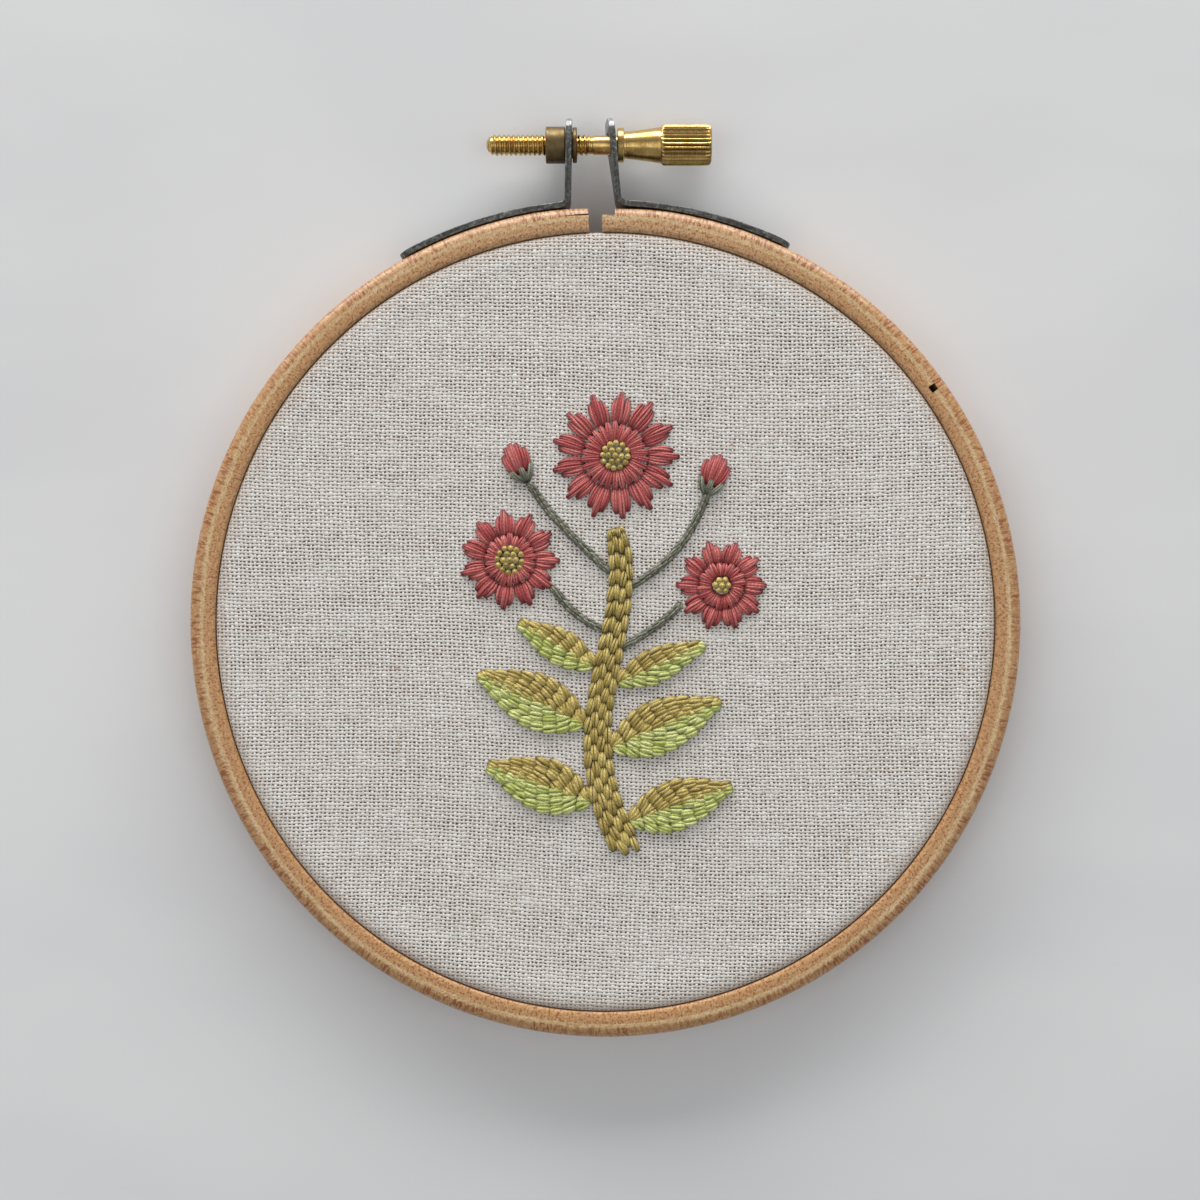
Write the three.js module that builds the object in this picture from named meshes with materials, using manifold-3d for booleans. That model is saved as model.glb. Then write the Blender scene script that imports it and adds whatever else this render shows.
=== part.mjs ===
// Hoop embroidery art: a piece of linen stretched between two wooden rings and stitched with a flowering sprig.
// Millimetres, +Z up. The hoop lies on its back on the plane z = 0 with its face up, and +Y points to its screw.
// The outer ring is split, and a brass thumb screw pulls the lugs of two steel straps together to close it.
import * as THREE from "three";
import { mergeVertices } from "three/addons/utils/BufferGeometryUtils.js";
import Module from "manifold-3d";

const wasm = await Module();
wasm.setup();

// ---- Driving dimensions --------------------------------------------------------------------------------------
const GAP = 0.3; // left between neighbouring pieces

const RING_OUTER_R = 68.8;
const RING_INNER_R = 64.5;
const RING_DEPTH = 9.5;
const RING_SHOULDER = { inside: 0.7, outside: 1.6 }; // radii of the rounded front edges
const RING_BACK_EDGE = 0.7; // radius of the rounded back edges
const RING_STEPS = 96;

const SPLIT_LEFT_X = -2.75; // the left end of the split ring
const SPLIT_RIGHT_X = -0.55; // the right end, at the cloth
const STEP_X = 1.55; // where the outermost layer of the right end starts
const STEP_DEPTH = 1.4;
const PIN_HOLE = { angle: 35.5, radius: 66.4, side: 1.2, depth: 2.0 };

const CLOTH_THICKNESS = 1.0;
const CLOTH_TOP = 9.3; // the cloth is pressed in almost level with the face of the ring
const CLOTH_R = RING_INNER_R - GAP;
const CLOTH_EDGE = 1.3; // radius of the cloth where it turns down over the inner ring
const CLOTH_FOOT = 0.6; // the height of the trimmed edge at the back

const INNER_OUTER_R = CLOTH_R - CLOTH_THICKNESS - GAP;
const INNER_WALL = 4.0;
const INNER_DEPTH = CLOTH_TOP - CLOTH_THICKNESS - GAP;
const INNER_EDGE = 0.8;

// Each strap is one strip of steel. Its foot lies along the ring, and its lug stands up to take the screw.
const STRAP = { thickness: 1.0, width: 8.0, inside: RING_OUTER_R + GAP, tip: 83.8, bend: 1.6, corner: 2.4 };
const STRAP_MID_Z = RING_DEPTH / 2;
const LEFT = { side: -1, foot: 119.3, lugX: -6.3, tipX: -6.05, twist: 0, hole: 2.5 };
const RIGHT = { side: 1, foot: 63.9, lugX: 2.25, tipX: 0.6, twist: 4, hole: 2.0 };

const SCREW = { y: 79.7, z: RING_DEPTH / 2, tip: -19.9, core: 1.45, crest: 1.75, pitch: 0.79 };
const SHANK = { from: -2.2, radius: 1.55 };
const COLLAR = { from: 2.25, to: 3.1, radius: 2.85 };
const NECK = { to: 9.3, small: 2.25, large: 2.95 };
const HEAD = { from: 9.3, to: 17.7, radius: 3.35, chamfer: 0.6, teeth: 28, groove: 0.3 };
const NUT = { from: -9.95, shoulder: -7.0, rim: -5.28, to: -4.75, radius: 3.05, neck: 2.15, rimRadius: 2.9 };
const RUNNING_FIT = 0.1; // all round between the screw's crests and the nut

// The stitched sprig, in millimetres from the middle of the cloth. A stalk or leaf leaves the stem at a share of
// its length, to the left (-1) or right (1).
const STITCH_BASE = CLOTH_TOP + GAP;
const STEM = { width: 5.0, tipWidth: 3.6, height: 0.95 };
const STEM_CURVE = [[4.0, -38.5], [-9.0, -16.0], [6.5, -2.0], [1.6, 15.4]];
const STALK = { width: 1.5, height: 0.75, off: 0.75 };
const STALKS = [
  { name: "stalk_left", at: 0.66, side: -1, through: [[-3.6, 0.2], [-6.2, 1.8]], to: [-8.1, 5.2] },
  { name: "stalk_right", at: 0.62, side: 1, through: [[5.0, -2.6], [8.6, -1.4]], to: [11.6, 2.3] },
  { name: "stalk_bud_right", at: 0.82, side: 1, through: [[9.2, 8.4], [14.0, 13.0]], to: [16.4, 20.2] },
  { name: "stalk_bud_left", at: 0.86, side: -1, through: [[-3.4, 12.2], [-8.8, 16.6]], to: [-12.2, 22.2] },
];
const LEAF = { height: 0.95, edge: 0.4, points: 9, off: 0.45 };
const LEAVES = [
  { name: "leaf_low_right", at: 0.07, side: 1, tip: [20.8, -27.2], width: 8.4, colour: "ochre" },
  { name: "leaf_low_left", at: 0.15, side: -1, tip: [-19.4, -23.8], width: 9.0, colour: "lime" },
  { name: "leaf_mid_right", at: 0.29, side: 1, tip: [18.8, -13.2], width: 9.0, colour: "lime" },
  { name: "leaf_mid_left", at: 0.36, side: -1, tip: [-20.8, -8.8], width: 9.2, colour: "ochre" },
  { name: "leaf_top_right", at: 0.5, side: 1, tip: [16.2, -3.8], width: 5.8, colour: "ochre" },
  { name: "leaf_top_left", at: 0.54, side: -1, tip: [-14.2, -0.2], width: 6.0, colour: "lime" },
];
const PETAL = { height: 1.0, edge: 0.45, pointsEach: 6, notch: 0.34 };
const DAISIES = [
  { name: "daisy_top", at: [1.6, 27.4], radius: 11.2, petals: 13, eye: 2.9 },
  { name: "daisy_left", at: [-15.8, 10.2], radius: 8.7, petals: 11, eye: 2.3 },
  { name: "daisy_right", at: [19.2, 6.0], radius: 7.9, petals: 10, eye: 2.1 },
];
const BUDS = [
  { name: "bud_right", at: [18.0, 24.6], angle: 70, length: 7.2, width: 5.4 },
  { name: "bud_left", at: [-14.6, 26.6], angle: 115, length: 7.0, width: 5.2 },
];

// ---- Materials -----------------------------------------------------------------------------------------------
const finish = (color, roughness, metalness = 0) => new THREE.MeshStandardMaterial({ color, roughness, metalness });
const BEECH = finish(0xcfa77a, 0.55);
const LINEN = finish(0xd5d0c8, 0.9);
const DARK_STEEL = finish(0x55585a, 0.42, 0.9);
const BRASS = finish(0xc9a050, 0.25, 1);
const BRONZE = finish(0x7a6a45, 0.4, 0.9);
const RED_THREAD = finish(0xb5484b, 0.7);
const GREY_GREEN_THREAD = finish(0x6d705e, 0.75);
const OCHRE_THREAD = finish(0xa58f45, 0.7);
const LIME_THREAD = finish(0xb4bf62, 0.7);
const LEAF_THREAD = { ochre: OCHRE_THREAD, lime: LIME_THREAD };

// ---- Mesh helpers --------------------------------------------------------------------------------------------
const radians = THREE.MathUtils.degToRad;

// A closed mesh as a manifold-3d solid, with its faces turned outwards.
function solidOf(geometry) {
  const bare = geometry.index ? geometry.toNonIndexed() : geometry.clone();
  bare.deleteAttribute("normal");
  bare.deleteAttribute("uv");
  const merged = mergeVertices(bare, 1e-4);
  const corners = new Uint32Array(merged.index.array);
  const build = () =>
    new wasm.Manifold(
      new wasm.Mesh({ numProp: 3, vertProperties: merged.attributes.position.array, triVerts: corners }),
    );
  const made = build();
  if (made.volume() > 0) return made;
  for (let i = 0; i < corners.length; i += 3) [corners[i + 1], corners[i + 2]] = [corners[i + 2], corners[i + 1]];
  return build();
}

function geometryOf(solid) {
  const mesh = solid.getMesh();
  const geometry = new THREE.BufferGeometry();
  geometry.setAttribute("position", new THREE.BufferAttribute(new Float32Array(mesh.vertProperties), mesh.numProp));
  geometry.setIndex(new THREE.BufferAttribute(new Uint32Array(mesh.triVerts), 1));
  return geometry;
}

function subtractAll(geometry, cutters) {
  return geometryOf(cutters.reduce((left, cutter) => left.subtract(solidOf(cutter)), solidOf(geometry)));
}

// A solid turned about +Z from [radius, height] pairs.
function turned(profile, steps) {
  const points = profile.map(([r, h]) => new THREE.Vector2(r, h));
  return new THREE.LatheGeometry(points, steps).rotateX(Math.PI / 2);
}

// A solid turned about the screw's own line, from [x, radius] pairs.
function turnedAlongX(profile, steps) {
  const points = profile.map(([x, r]) => new THREE.Vector2(r, x));
  return new THREE.LatheGeometry(points, steps).rotateZ(-Math.PI / 2).translate(0, SCREW.y, SCREW.z);
}

// Skin over a row of rings with the same number of points each, closed by a fan at both ends.
function loft(rings) {
  const size = rings[0].length;
  const points = rings.flat();
  const faces = [];
  for (let k = 0; k + 1 < rings.length; k++) {
    for (let i = 0; i < size; i++) {
      const a = k * size + i;
      const b = k * size + ((i + 1) % size);
      faces.push(a, b, b + size, a, b + size, a + size);
    }
  }
  const close = (ring, start, flip) => {
    const middle = new THREE.Vector3();
    ring.forEach((p) => middle.add(p));
    points.push(middle.divideScalar(size));
    const hub = points.length - 1;
    for (let i = 0; i < size; i++) {
      const [a, b] = [start + i, start + ((i + 1) % size)];
      faces.push(...(flip ? [hub, b, a] : [hub, a, b]));
    }
  };
  close(rings[0], 0, true);
  close(rings[rings.length - 1], (rings.length - 1) * size, false);
  const geometry = new THREE.BufferGeometry().setFromPoints(points);
  geometry.setIndex(faces);
  return geometryOf(solidOf(geometry));
}

// Points on a quarter circle about [r, h], from one angle to another, in degrees.
function corner(r, h, radius, from, to, steps = 3) {
  const points = [];
  for (let i = 0; i <= steps; i++) {
    const angle = radians(from + ((to - from) * i) / steps);
    points.push([r + radius * Math.cos(angle), h + radius * Math.sin(angle)]);
  }
  return points;
}

const part = (name, geometry, material) => {
  const mesh = new THREE.Mesh(geometry, material);
  mesh.name = name;
  return mesh;
};

// ---- The rings and the cloth ---------------------------------------------------------------------------------
// A ring's section, with its front edges rounded and its back edges eased.
function ringProfile(inner, outer, depth, { inside, outside }, back, steps) {
  const profile = [
    ...corner(outer - back, back, back, -90, 0, 1),
    ...corner(outer - outside, depth - outside, outside, 0, 90, steps),
    ...corner(inner + inside, depth - inside, inside, 90, 180, steps),
    ...corner(inner + back, back, back, 180, 270, 1),
  ];
  return [...profile, profile[0]];
}

function outerRing() {
  const tall = RING_DEPTH * 3;
  const reach = RING_OUTER_R * 2;
  const split = new THREE.BoxGeometry(SPLIT_RIGHT_X - SPLIT_LEFT_X, reach, tall);
  split.translate((SPLIT_RIGHT_X + SPLIT_LEFT_X) / 2, reach / 2, 0);
  const step = new THREE.BoxGeometry(STEP_X - SPLIT_LEFT_X - 0.5, 4, tall);
  step.translate((STEP_X + SPLIT_LEFT_X + 0.5) / 2, RING_OUTER_R - STEP_DEPTH + 2, 0);
  const hole = new THREE.BoxGeometry(PIN_HOLE.side, PIN_HOLE.side, PIN_HOLE.depth * 2);
  hole.translate(PIN_HOLE.radius, 0, RING_DEPTH).rotateZ(radians(PIN_HOLE.angle));
  const profile = ringProfile(RING_INNER_R, RING_OUTER_R, RING_DEPTH, RING_SHOULDER, RING_BACK_EDGE, 4);
  return subtractAll(turned(profile, RING_STEPS), [split, step, hole]);
}

function innerRing() {
  const front = { inside: INNER_EDGE, outside: INNER_EDGE };
  const profile = ringProfile(INNER_OUTER_R - INNER_WALL, INNER_OUTER_R, INNER_DEPTH, front, INNER_EDGE, 1);
  return turned(profile, RING_STEPS);
}

// One sheet: flat across the hoop, over the inner ring's front edge, and down between the rings.
function cloth() {
  const turnR = CLOTH_R - CLOTH_EDGE;
  const turnZ = CLOTH_TOP - CLOTH_EDGE;
  return turned(
    [
      [0, CLOTH_TOP - CLOTH_THICKNESS],
      ...corner(turnR, turnZ, CLOTH_EDGE - CLOTH_THICKNESS, 90, 0, 1),
      [CLOTH_R - CLOTH_THICKNESS, CLOTH_FOOT],
      [CLOTH_R, CLOTH_FOOT],
      ...corner(turnR, turnZ, CLOTH_EDGE, 0, 90),
      [0, CLOTH_TOP],
    ],
    RING_STEPS,
  );
}

// ---- The steel straps ----------------------------------------------------------------------------------------
// The strap's middle line in plan: along the ring from the foot's end, round the bend, and up the lug.
function strapLine({ side, foot, lugX, tipX }) {
  const middle = STRAP.inside + STRAP.thickness / 2;
  const onRing = (angle) => new THREE.Vector2(middle * Math.cos(angle), middle * Math.sin(angle));
  const from = radians(foot);
  const to = Math.acos((lugX + side * STRAP.bend) / middle);
  const line = [];
  for (let i = 0; i <= 14; i++) line.push(onRing(THREE.MathUtils.lerp(from, to, i / 14)));
  const corner = onRing(Math.acos(lugX / middle));
  const tip = new THREE.Vector2(tipX, STRAP.tip);
  const lugFoot = tip.clone().sub(corner).setLength(STRAP.bend).add(corner);
  line.push(...new THREE.QuadraticBezierCurve(onRing(to), corner, lugFoot).getPoints(5).slice(1));
  for (let i = 1; i <= 9; i++) line.push(lugFoot.clone().lerp(tip, i / 9));
  return line;
}

// Stations along the strip, set closer at both ends, where its corners are rounded.
function strapStations(line) {
  const path = new THREE.CurvePath();
  for (let i = 0; i + 1 < line.length; i++) path.add(new THREE.LineCurve(line[i], line[i + 1]));
  const length = path.getLength();
  const ends = [0.01, 0.06, 0.16, 0.32, 0.55, 0.78, 1].map((share) => share * STRAP.corner);
  const clear = STRAP.corner + 0.4;
  const between = path.getCurveLengths().filter((at) => at > clear && at < length - clear);
  const stations = [...ends, ...between, ...ends.map((at) => length - at).reverse()];
  return stations.map((at) => ({
    point: path.getPointAt(at / length),
    along: path.getTangentAt(at / length),
    end: Math.min(at, length - at),
    lug: THREE.MathUtils.smoothstep(length - at, 3, 13),
  }));
}

function strap(row) {
  const rings = strapStations(strapLine(row)).map(({ point, along, end, lug }) => {
    const short = Math.max(STRAP.corner - end, 0);
    const half = STRAP.width / 2 - STRAP.corner + Math.sqrt(STRAP.corner ** 2 - short ** 2);
    const twist = radians(row.twist) * (1 - lug) * row.side;
    const across = new THREE.Vector3(-along.y, along.x, 0);
    const up = new THREE.Vector3(0, 0, Math.cos(twist)).addScaledVector(across, -row.side * Math.sin(twist));
    const middle = new THREE.Vector3(point.x, point.y, STRAP_MID_Z);
    const at = (u, v) =>
      middle.clone().addScaledVector(across, (u * STRAP.thickness) / 2).addScaledVector(up, v * half);
    return [at(-1, -1), at(1, -1), at(1, 1), at(-1, 1)];
  });
  const hole = new THREE.CylinderGeometry(row.hole, row.hole, 6, 24);
  hole.rotateZ(Math.PI / 2).translate((row.lugX + row.tipX) / 2, SCREW.y, SCREW.z);
  return subtractAll(loft(rings), [hole]);
}

// ---- The screw and its nut -----------------------------------------------------------------------------------
function nut() {
  const bore = SCREW.crest + RUNNING_FIT;
  const profile = [
    [NUT.from, bore],
    [NUT.from, NUT.radius],
    [NUT.shoulder, NUT.radius],
    [NUT.shoulder, NUT.neck],
    [NUT.rim, NUT.neck],
    [NUT.rim, NUT.rimRadius],
    [NUT.to, NUT.rimRadius],
    [NUT.to, bore],
    [NUT.from, bore],
  ];
  return turnedAlongX(profile, 28);
}

// The threaded and plain shank, with the thread as a row of V grooves.
function shankProfile() {
  const point = SCREW.pitch * 1.2;
  const profile = [
    [SCREW.tip, 0],
    [SCREW.tip, SCREW.core * 0.55],
    [SCREW.tip + point, SCREW.core],
  ];
  for (let x = SCREW.tip + point; x < SHANK.from - SCREW.pitch; x += SCREW.pitch) {
    profile.push([x + SCREW.pitch / 2, SCREW.crest], [x + SCREW.pitch, SCREW.core]);
  }
  profile.push([SHANK.from, SHANK.radius], [COLLAR.from + 0.2, SHANK.radius], [COLLAR.from + 0.2, 0]);
  return profile;
}

function screw() {
  const head = turnedAlongX(
    [
      [COLLAR.from, 0],
      [COLLAR.from, COLLAR.radius],
      [COLLAR.to, COLLAR.radius],
      [COLLAR.to, NECK.small],
      [NECK.to, NECK.large],
      [HEAD.from, HEAD.radius - 0.25],
      [HEAD.from + 0.25, HEAD.radius],
      [HEAD.to - HEAD.chamfer, HEAD.radius],
      [HEAD.to, HEAD.radius - HEAD.chamfer],
      [HEAD.to, 0],
    ],
    HEAD.teeth * 2,
  );
  const place = head.attributes.position;
  const rings = place.count / (HEAD.teeth * 2 + 1);
  for (let i = 0; i < place.count; i++) {
    const odd = Math.floor(i / rings) % 2 === 1;
    const onHead = place.getX(i) > HEAD.from + 0.1 && place.getX(i) < HEAD.to + 0.1;
    const [y, z] = [place.getY(i) - SCREW.y, place.getZ(i) - SCREW.z];
    const r = Math.hypot(y, z);
    if (!odd || !onHead || r < 1) continue;
    const share = (r - HEAD.groove) / r;
    place.setXYZ(i, place.getX(i), SCREW.y + y * share, SCREW.z + z * share);
  }
  return geometryOf(solidOf(head).add(solidOf(turnedAlongX(shankProfile(), 16))));
}

// ---- The stitched sprig --------------------------------------------------------------------------------------
const bezier = (controls) => new THREE.CubicBezierCurve(...controls.map(([x, y]) => new THREE.Vector2(x, y)));
const stemCurve = bezier(STEM_CURVE);

// A point beside the stem, clear of its edge.
function besideStem({ at, side }, off) {
  const along = stemCurve.getTangent(at);
  const out = THREE.MathUtils.lerp(STEM.width, STEM.tipWidth, at) / 2 + off;
  const { x, y } = stemCurve.getPoint(at);
  return [x + side * along.y * out, y - side * along.x * out];
}

// A low domed band along a curve, as wide as the rows of stitches that cover it.
function band(curve, widthFrom, widthTo, height, steps) {
  const section = [[-1, 0], [-1, 0.35], [-0.6, 0.85], [0, 1], [0.6, 0.85], [1, 0.35], [1, 0]];
  const rings = [];
  for (let i = 0; i <= steps; i++) {
    const t = i / steps;
    const point = curve.getPoint(t);
    const along = curve.getTangent(t);
    const blunt = Math.min(1, 0.55 + 4 * Math.min(t, 1 - t));
    const half = (THREE.MathUtils.lerp(widthFrom, widthTo, t) / 2) * blunt;
    rings.push(
      section.map(
        ([u, h]) => new THREE.Vector3(point.x - along.y * half * u, point.y + along.x * half * u, STITCH_BASE + h * height),
      ),
    );
  }
  return loft(rings);
}

// A pad from its outline: an upright edge, then a dome drawn in towards its middle line.
function pad(outline, edge, height, drawnIn) {
  const levels = [[1, 0], [1, edge], [0.82, height * 0.75], [0.45, height]];
  return loft(
    levels.map(([share, z]) => outline.map((p) => {
      const [x, y] = drawnIn(p, share);
      return new THREE.Vector3(x, y, STITCH_BASE + z);
    })),
  );
}

function leaf(row) {
  const { tip, width } = row;
  const base = besideStem(row, LEAF.off);
  const axis = new THREE.Vector2(tip[0] - base[0], tip[1] - base[1]);
  const length = axis.length();
  axis.normalize();
  const side = new THREE.Vector2(-axis.y, axis.x);
  const outline = [];
  // Fuller towards its base, as a lance-shaped leaf is.
  const half = (t) => (width / 2) * Math.sin(Math.PI * t ** 0.8) ** 0.85;
  for (let i = 0; i < LEAF.points; i++) outline.push([i / LEAF.points, half(i / LEAF.points)]);
  for (let i = LEAF.points; i > 0; i--) outline.push([i / LEAF.points, -half(i / LEAF.points)]);
  return pad(outline, LEAF.edge, LEAF.height, ([t, across], share) => {
    const along = length * (0.5 + (t - 0.5) * (0.4 + 0.6 * share));
    return [
      base[0] + axis.x * along + side.x * across * share,
      base[1] + axis.y * along + side.y * across * share,
    ];
  });
}

function daisy({ at, radius, petals }) {
  const count = petals * PETAL.pointsEach;
  const outline = [];
  for (let i = 0; i < count; i++) {
    const swell = Math.abs(Math.cos((Math.PI * i) / PETAL.pointsEach)) ** 0.7;
    outline.push([(2 * Math.PI * i) / count, radius * (1 - PETAL.notch * (1 - swell))]);
  }
  return pad(outline, PETAL.edge, PETAL.height, ([angle, r], share) => [
    at[0] + Math.cos(angle) * r * share,
    at[1] + Math.sin(angle) * r * share,
  ]);
}

// The mound of knots at a daisy's middle.
function daisyEye({ at, eye }) {
  const low = PETAL.height + GAP;
  const levels = [[0.9, 0], [1, 0.25], [0.8, 0.6], [0.4, 0.8]];
  const steps = 16;
  return loft(
    levels.map(([share, z]) => Array.from({ length: steps }, (_, i) => {
      const angle = (2 * Math.PI * i) / steps;
      const r = eye * share;
      return new THREE.Vector3(at[0] + r * Math.cos(angle), at[1] + r * Math.sin(angle), STITCH_BASE + low + z);
    })),
  );
}

function bud({ at, angle, length, width }) {
  const turn = radians(angle);
  const outline = [];
  const points = 14;
  for (let i = 0; i < points; i++) {
    const a = (2 * Math.PI * i) / points;
    outline.push([(length / 2) * Math.cos(a), (width / 2) * Math.sin(a) * (1 + 0.25 * Math.cos(a))]);
  }
  return pad(outline, PETAL.edge, PETAL.height, ([u, v], share) => [
    at[0] + (Math.cos(turn) * u - Math.sin(turn) * v) * share,
    at[1] + (Math.sin(turn) * u + Math.cos(turn) * v) * share,
  ]);
}

// ---- Assembly ------------------------------------------------------------------------------------------------
const sprig = new THREE.Group();
sprig.add(part("stem", band(stemCurve, STEM.width, STEM.tipWidth, STEM.height, 20), OCHRE_THREAD));
STALKS.forEach((row) => {
  const curve = bezier([besideStem(row, STALK.off), ...row.through, row.to]);
  sprig.add(part(row.name, band(curve, STALK.width, STALK.width, STALK.height, 8), GREY_GREEN_THREAD));
});
LEAVES.forEach((row) => sprig.add(part(row.name, leaf(row), LEAF_THREAD[row.colour])));
DAISIES.forEach((row) => {
  sprig.add(part(row.name, daisy(row), RED_THREAD));
  sprig.add(part(row.name + "_eye", daisyEye(row), OCHRE_THREAD));
});
BUDS.forEach((row) => sprig.add(part(row.name, bud(row), RED_THREAD)));

const hoop = new THREE.Group();
hoop.add(part("outer_ring", outerRing(), BEECH));
hoop.add(part("inner_ring", innerRing(), BEECH));
hoop.add(part("cloth", cloth(), LINEN));
hoop.add(part("strap_left", strap(LEFT), DARK_STEEL));
hoop.add(part("strap_right", strap(RIGHT), DARK_STEEL));
hoop.add(part("nut", nut(), BRONZE));
hoop.add(part("thumb_screw", screw(), BRASS));
hoop.add(sprig);
// The origin is under the middle of the whole piece, lugs included.
hoop.position.y = -(STRAP.tip - RING_OUTER_R) / 2;

const root = new THREE.Group();
root.add(hoop);
export default root;
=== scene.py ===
# %% [markdown]
# # Embroidered linen in a wooden hoop
# A sprig of daisies stitched in stranded cotton on natural linen, held in a beech hoop that a brass thumb
# screw closes. The hoop lies on its back, and the camera looks straight down at the stitched face. The frame
# brings the plain shapes at their real sizes, in metres. Each piece here is a finer one that is laid on those
# sizes, so nothing has to be fitted by eye, and the first cell reads the few measures that the others share.

import math
import random

import bmesh
import bpy
import numpy as np
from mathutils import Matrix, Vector


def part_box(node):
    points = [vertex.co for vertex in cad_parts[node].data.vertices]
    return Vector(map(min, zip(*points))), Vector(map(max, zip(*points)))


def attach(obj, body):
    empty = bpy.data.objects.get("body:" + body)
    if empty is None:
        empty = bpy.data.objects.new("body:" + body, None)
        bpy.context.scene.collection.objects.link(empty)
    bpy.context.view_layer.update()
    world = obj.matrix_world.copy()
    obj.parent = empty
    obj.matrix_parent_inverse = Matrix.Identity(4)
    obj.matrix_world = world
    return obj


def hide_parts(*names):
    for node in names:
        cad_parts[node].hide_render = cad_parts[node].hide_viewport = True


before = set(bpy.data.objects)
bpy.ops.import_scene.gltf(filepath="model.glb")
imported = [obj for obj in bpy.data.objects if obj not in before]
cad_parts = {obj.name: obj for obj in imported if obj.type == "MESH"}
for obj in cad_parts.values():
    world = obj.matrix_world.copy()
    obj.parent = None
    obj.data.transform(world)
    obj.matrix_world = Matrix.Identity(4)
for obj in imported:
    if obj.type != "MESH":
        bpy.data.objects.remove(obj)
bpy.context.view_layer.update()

MM = 0.001
ring_low, ring_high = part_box("outer_ring")
cloth_low, cloth_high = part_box("cloth")
RING_R = ring_high.x
RING_FACE = ring_high.z
HOOP_Y = ring_low.y + RING_R
CLOTH_TOP = cloth_high.z
print(len(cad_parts), "plain shapes in the frame")
print("ring radius", RING_R, "hoop centre y", HOOP_Y, "cloth at", CLOTH_TOP)


# %% [markdown]
# ## Shared helpers
# Nearly everything in a hoop is one section carried along a line: a bent strip of wood, a steel strap, a
# turned screw, a strand of floss. Blender's curves with a bevel could do that, but a bevel keeps one shape
# all the way, and it leaves nothing for a material to read. So this short class joins rows of points into
# closed shells. Many small shells, such as stitches, collect in one list and become one mesh.


# %% Swept shells
def lengths_along(points):
    """How far along its own line each point is."""
    return np.concatenate([[0], np.cumsum(np.linalg.norm(np.diff(points, axis=0), axis=1))])


def link_piece(name, mesh):
    """Makes a mesh into a smooth piece of the scene."""
    mesh.shade_smooth()
    obj = bpy.data.objects.new(name, mesh)
    bpy.context.scene.collection.objects.link(obj)
    return obj


class Shells:
    """Collects swept shells. Each point keeps its skin: how far along the sweep it is in millimetres, its
    share of the way round the section, and a tone that the materials can read."""

    def __init__(self):
        self.points, self.faces, self.skin, self.count = [], [], [], 0

    def sweep(self, rows, tone=0.0, loop=False):
        """rows is an array (stations, points round the section, 3)."""
        rows = np.asarray(rows, float)
        n, m = rows.shape[:2]
        i = np.arange(n if loop else n - 1)[:, None] * m
        j = np.arange(m)[None, :]
        ahead, beside = (i + m) % (n * m), (j + 1) % m
        quads = np.stack([i + j, i + beside, ahead + beside, ahead + j], -1).reshape(-1, 4) + self.count
        self.faces.extend(quads.tolist())
        if not loop:
            self.faces.append(list(range(self.count + m - 1, self.count - 1, -1)))
            self.faces.append(list(range(self.count + (n - 1) * m, self.count + n * m)))
        skin = np.empty((n, m, 3))
        skin[..., 0] = (lengths_along(rows.mean(1)) / MM)[:, None]
        skin[..., 1] = np.arange(m) / m
        tone = np.asarray(tone, float)
        skin[..., 2] = tone if tone.ndim == 2 else tone.reshape(-1, 1)
        self.points.append(rows.reshape(-1, 3))
        self.skin.append(skin.reshape(-1, 3))
        self.count += n * m

    def piece(self, name):
        mesh = bpy.data.meshes.new(name)
        mesh.from_pydata(np.concatenate(self.points).tolist(), [], self.faces)
        skin = mesh.attributes.new("skin", "FLOAT_VECTOR", "POINT")
        skin.data.foreach_set("vector", np.concatenate(self.skin).reshape(-1))
        return link_piece(name, mesh)


# %% [markdown]
# Wood, steel and brass need crisp edges, true holes, and faces that all look outwards. The faces could be
# counted out by hand, but bmesh turns them the right way in one call. Holes could be built into the rows of
# points as well. A Boolean modifier is simpler and just as exact, and it is applied at once, so that a piece
# is plain mesh.


# %% Facing, edges and holes
def face_out(obj):
    """Turns every face of a closed piece to point outwards."""
    work = bmesh.new()
    work.from_mesh(obj.data)
    bmesh.ops.recalc_face_normals(work, faces=work.faces)
    work.to_mesh(obj.data)
    work.free()
    return obj


def smooth_under(obj, degrees):
    """Smooth shading, but crisp at edges that turn by more than this."""
    obj.data.shade_smooth()
    obj.data.set_sharp_from_angle(angle=math.radians(degrees))
    return obj


def cut(obj, *cutters):
    """Cuts closed cutters out of a piece and keeps the result as its mesh."""
    for cutter in cutters:
        boolean = obj.modifiers.new("cut", "BOOLEAN")
        boolean.operation, boolean.solver, boolean.object = "DIFFERENCE", "EXACT", cutter
    graph = bpy.context.evaluated_depsgraph_get()
    mesh = bpy.data.meshes.new_from_object(obj.evaluated_get(graph))
    obj.modifiers.clear()
    obj.data = mesh
    for cutter in cutters:
        bpy.data.objects.remove(cutter)


def solid(name, rows, **how):
    """One swept shell as a piece of its own, with its faces outwards."""
    shells = Shells()
    shells.sweep(rows, **how)
    return face_out(shells.piece(name))


# %% [markdown]
# Every finished piece is handed over in the same way: it takes a material, rides on the body that carries it,
# and hides the plain shape that it stands for.


# %% Dressing a piece
def dress(obj, material, slot, body, *nodes):
    """Gives a piece its material and its body, and hides the CAD nodes that it stands for."""
    obj.data.materials.clear()
    obj.data.materials.append(material)
    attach(obj, body)
    if nodes:
        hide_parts(*nodes)
    print(f"{obj.name}: {len(obj.data.polygons)} faces")
    return obj


# %% [markdown]
# ## Materials
# Each finish is drawn with nodes from the piece's own place, so it needs no pictures and stays sharp close
# up. Nodes could be added and linked one by one, but a wood would then run to pages. Here each output is
# wrapped as a value: adding or multiplying two values places the Math node and its links, and the recipe
# reads as a sum.


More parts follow.
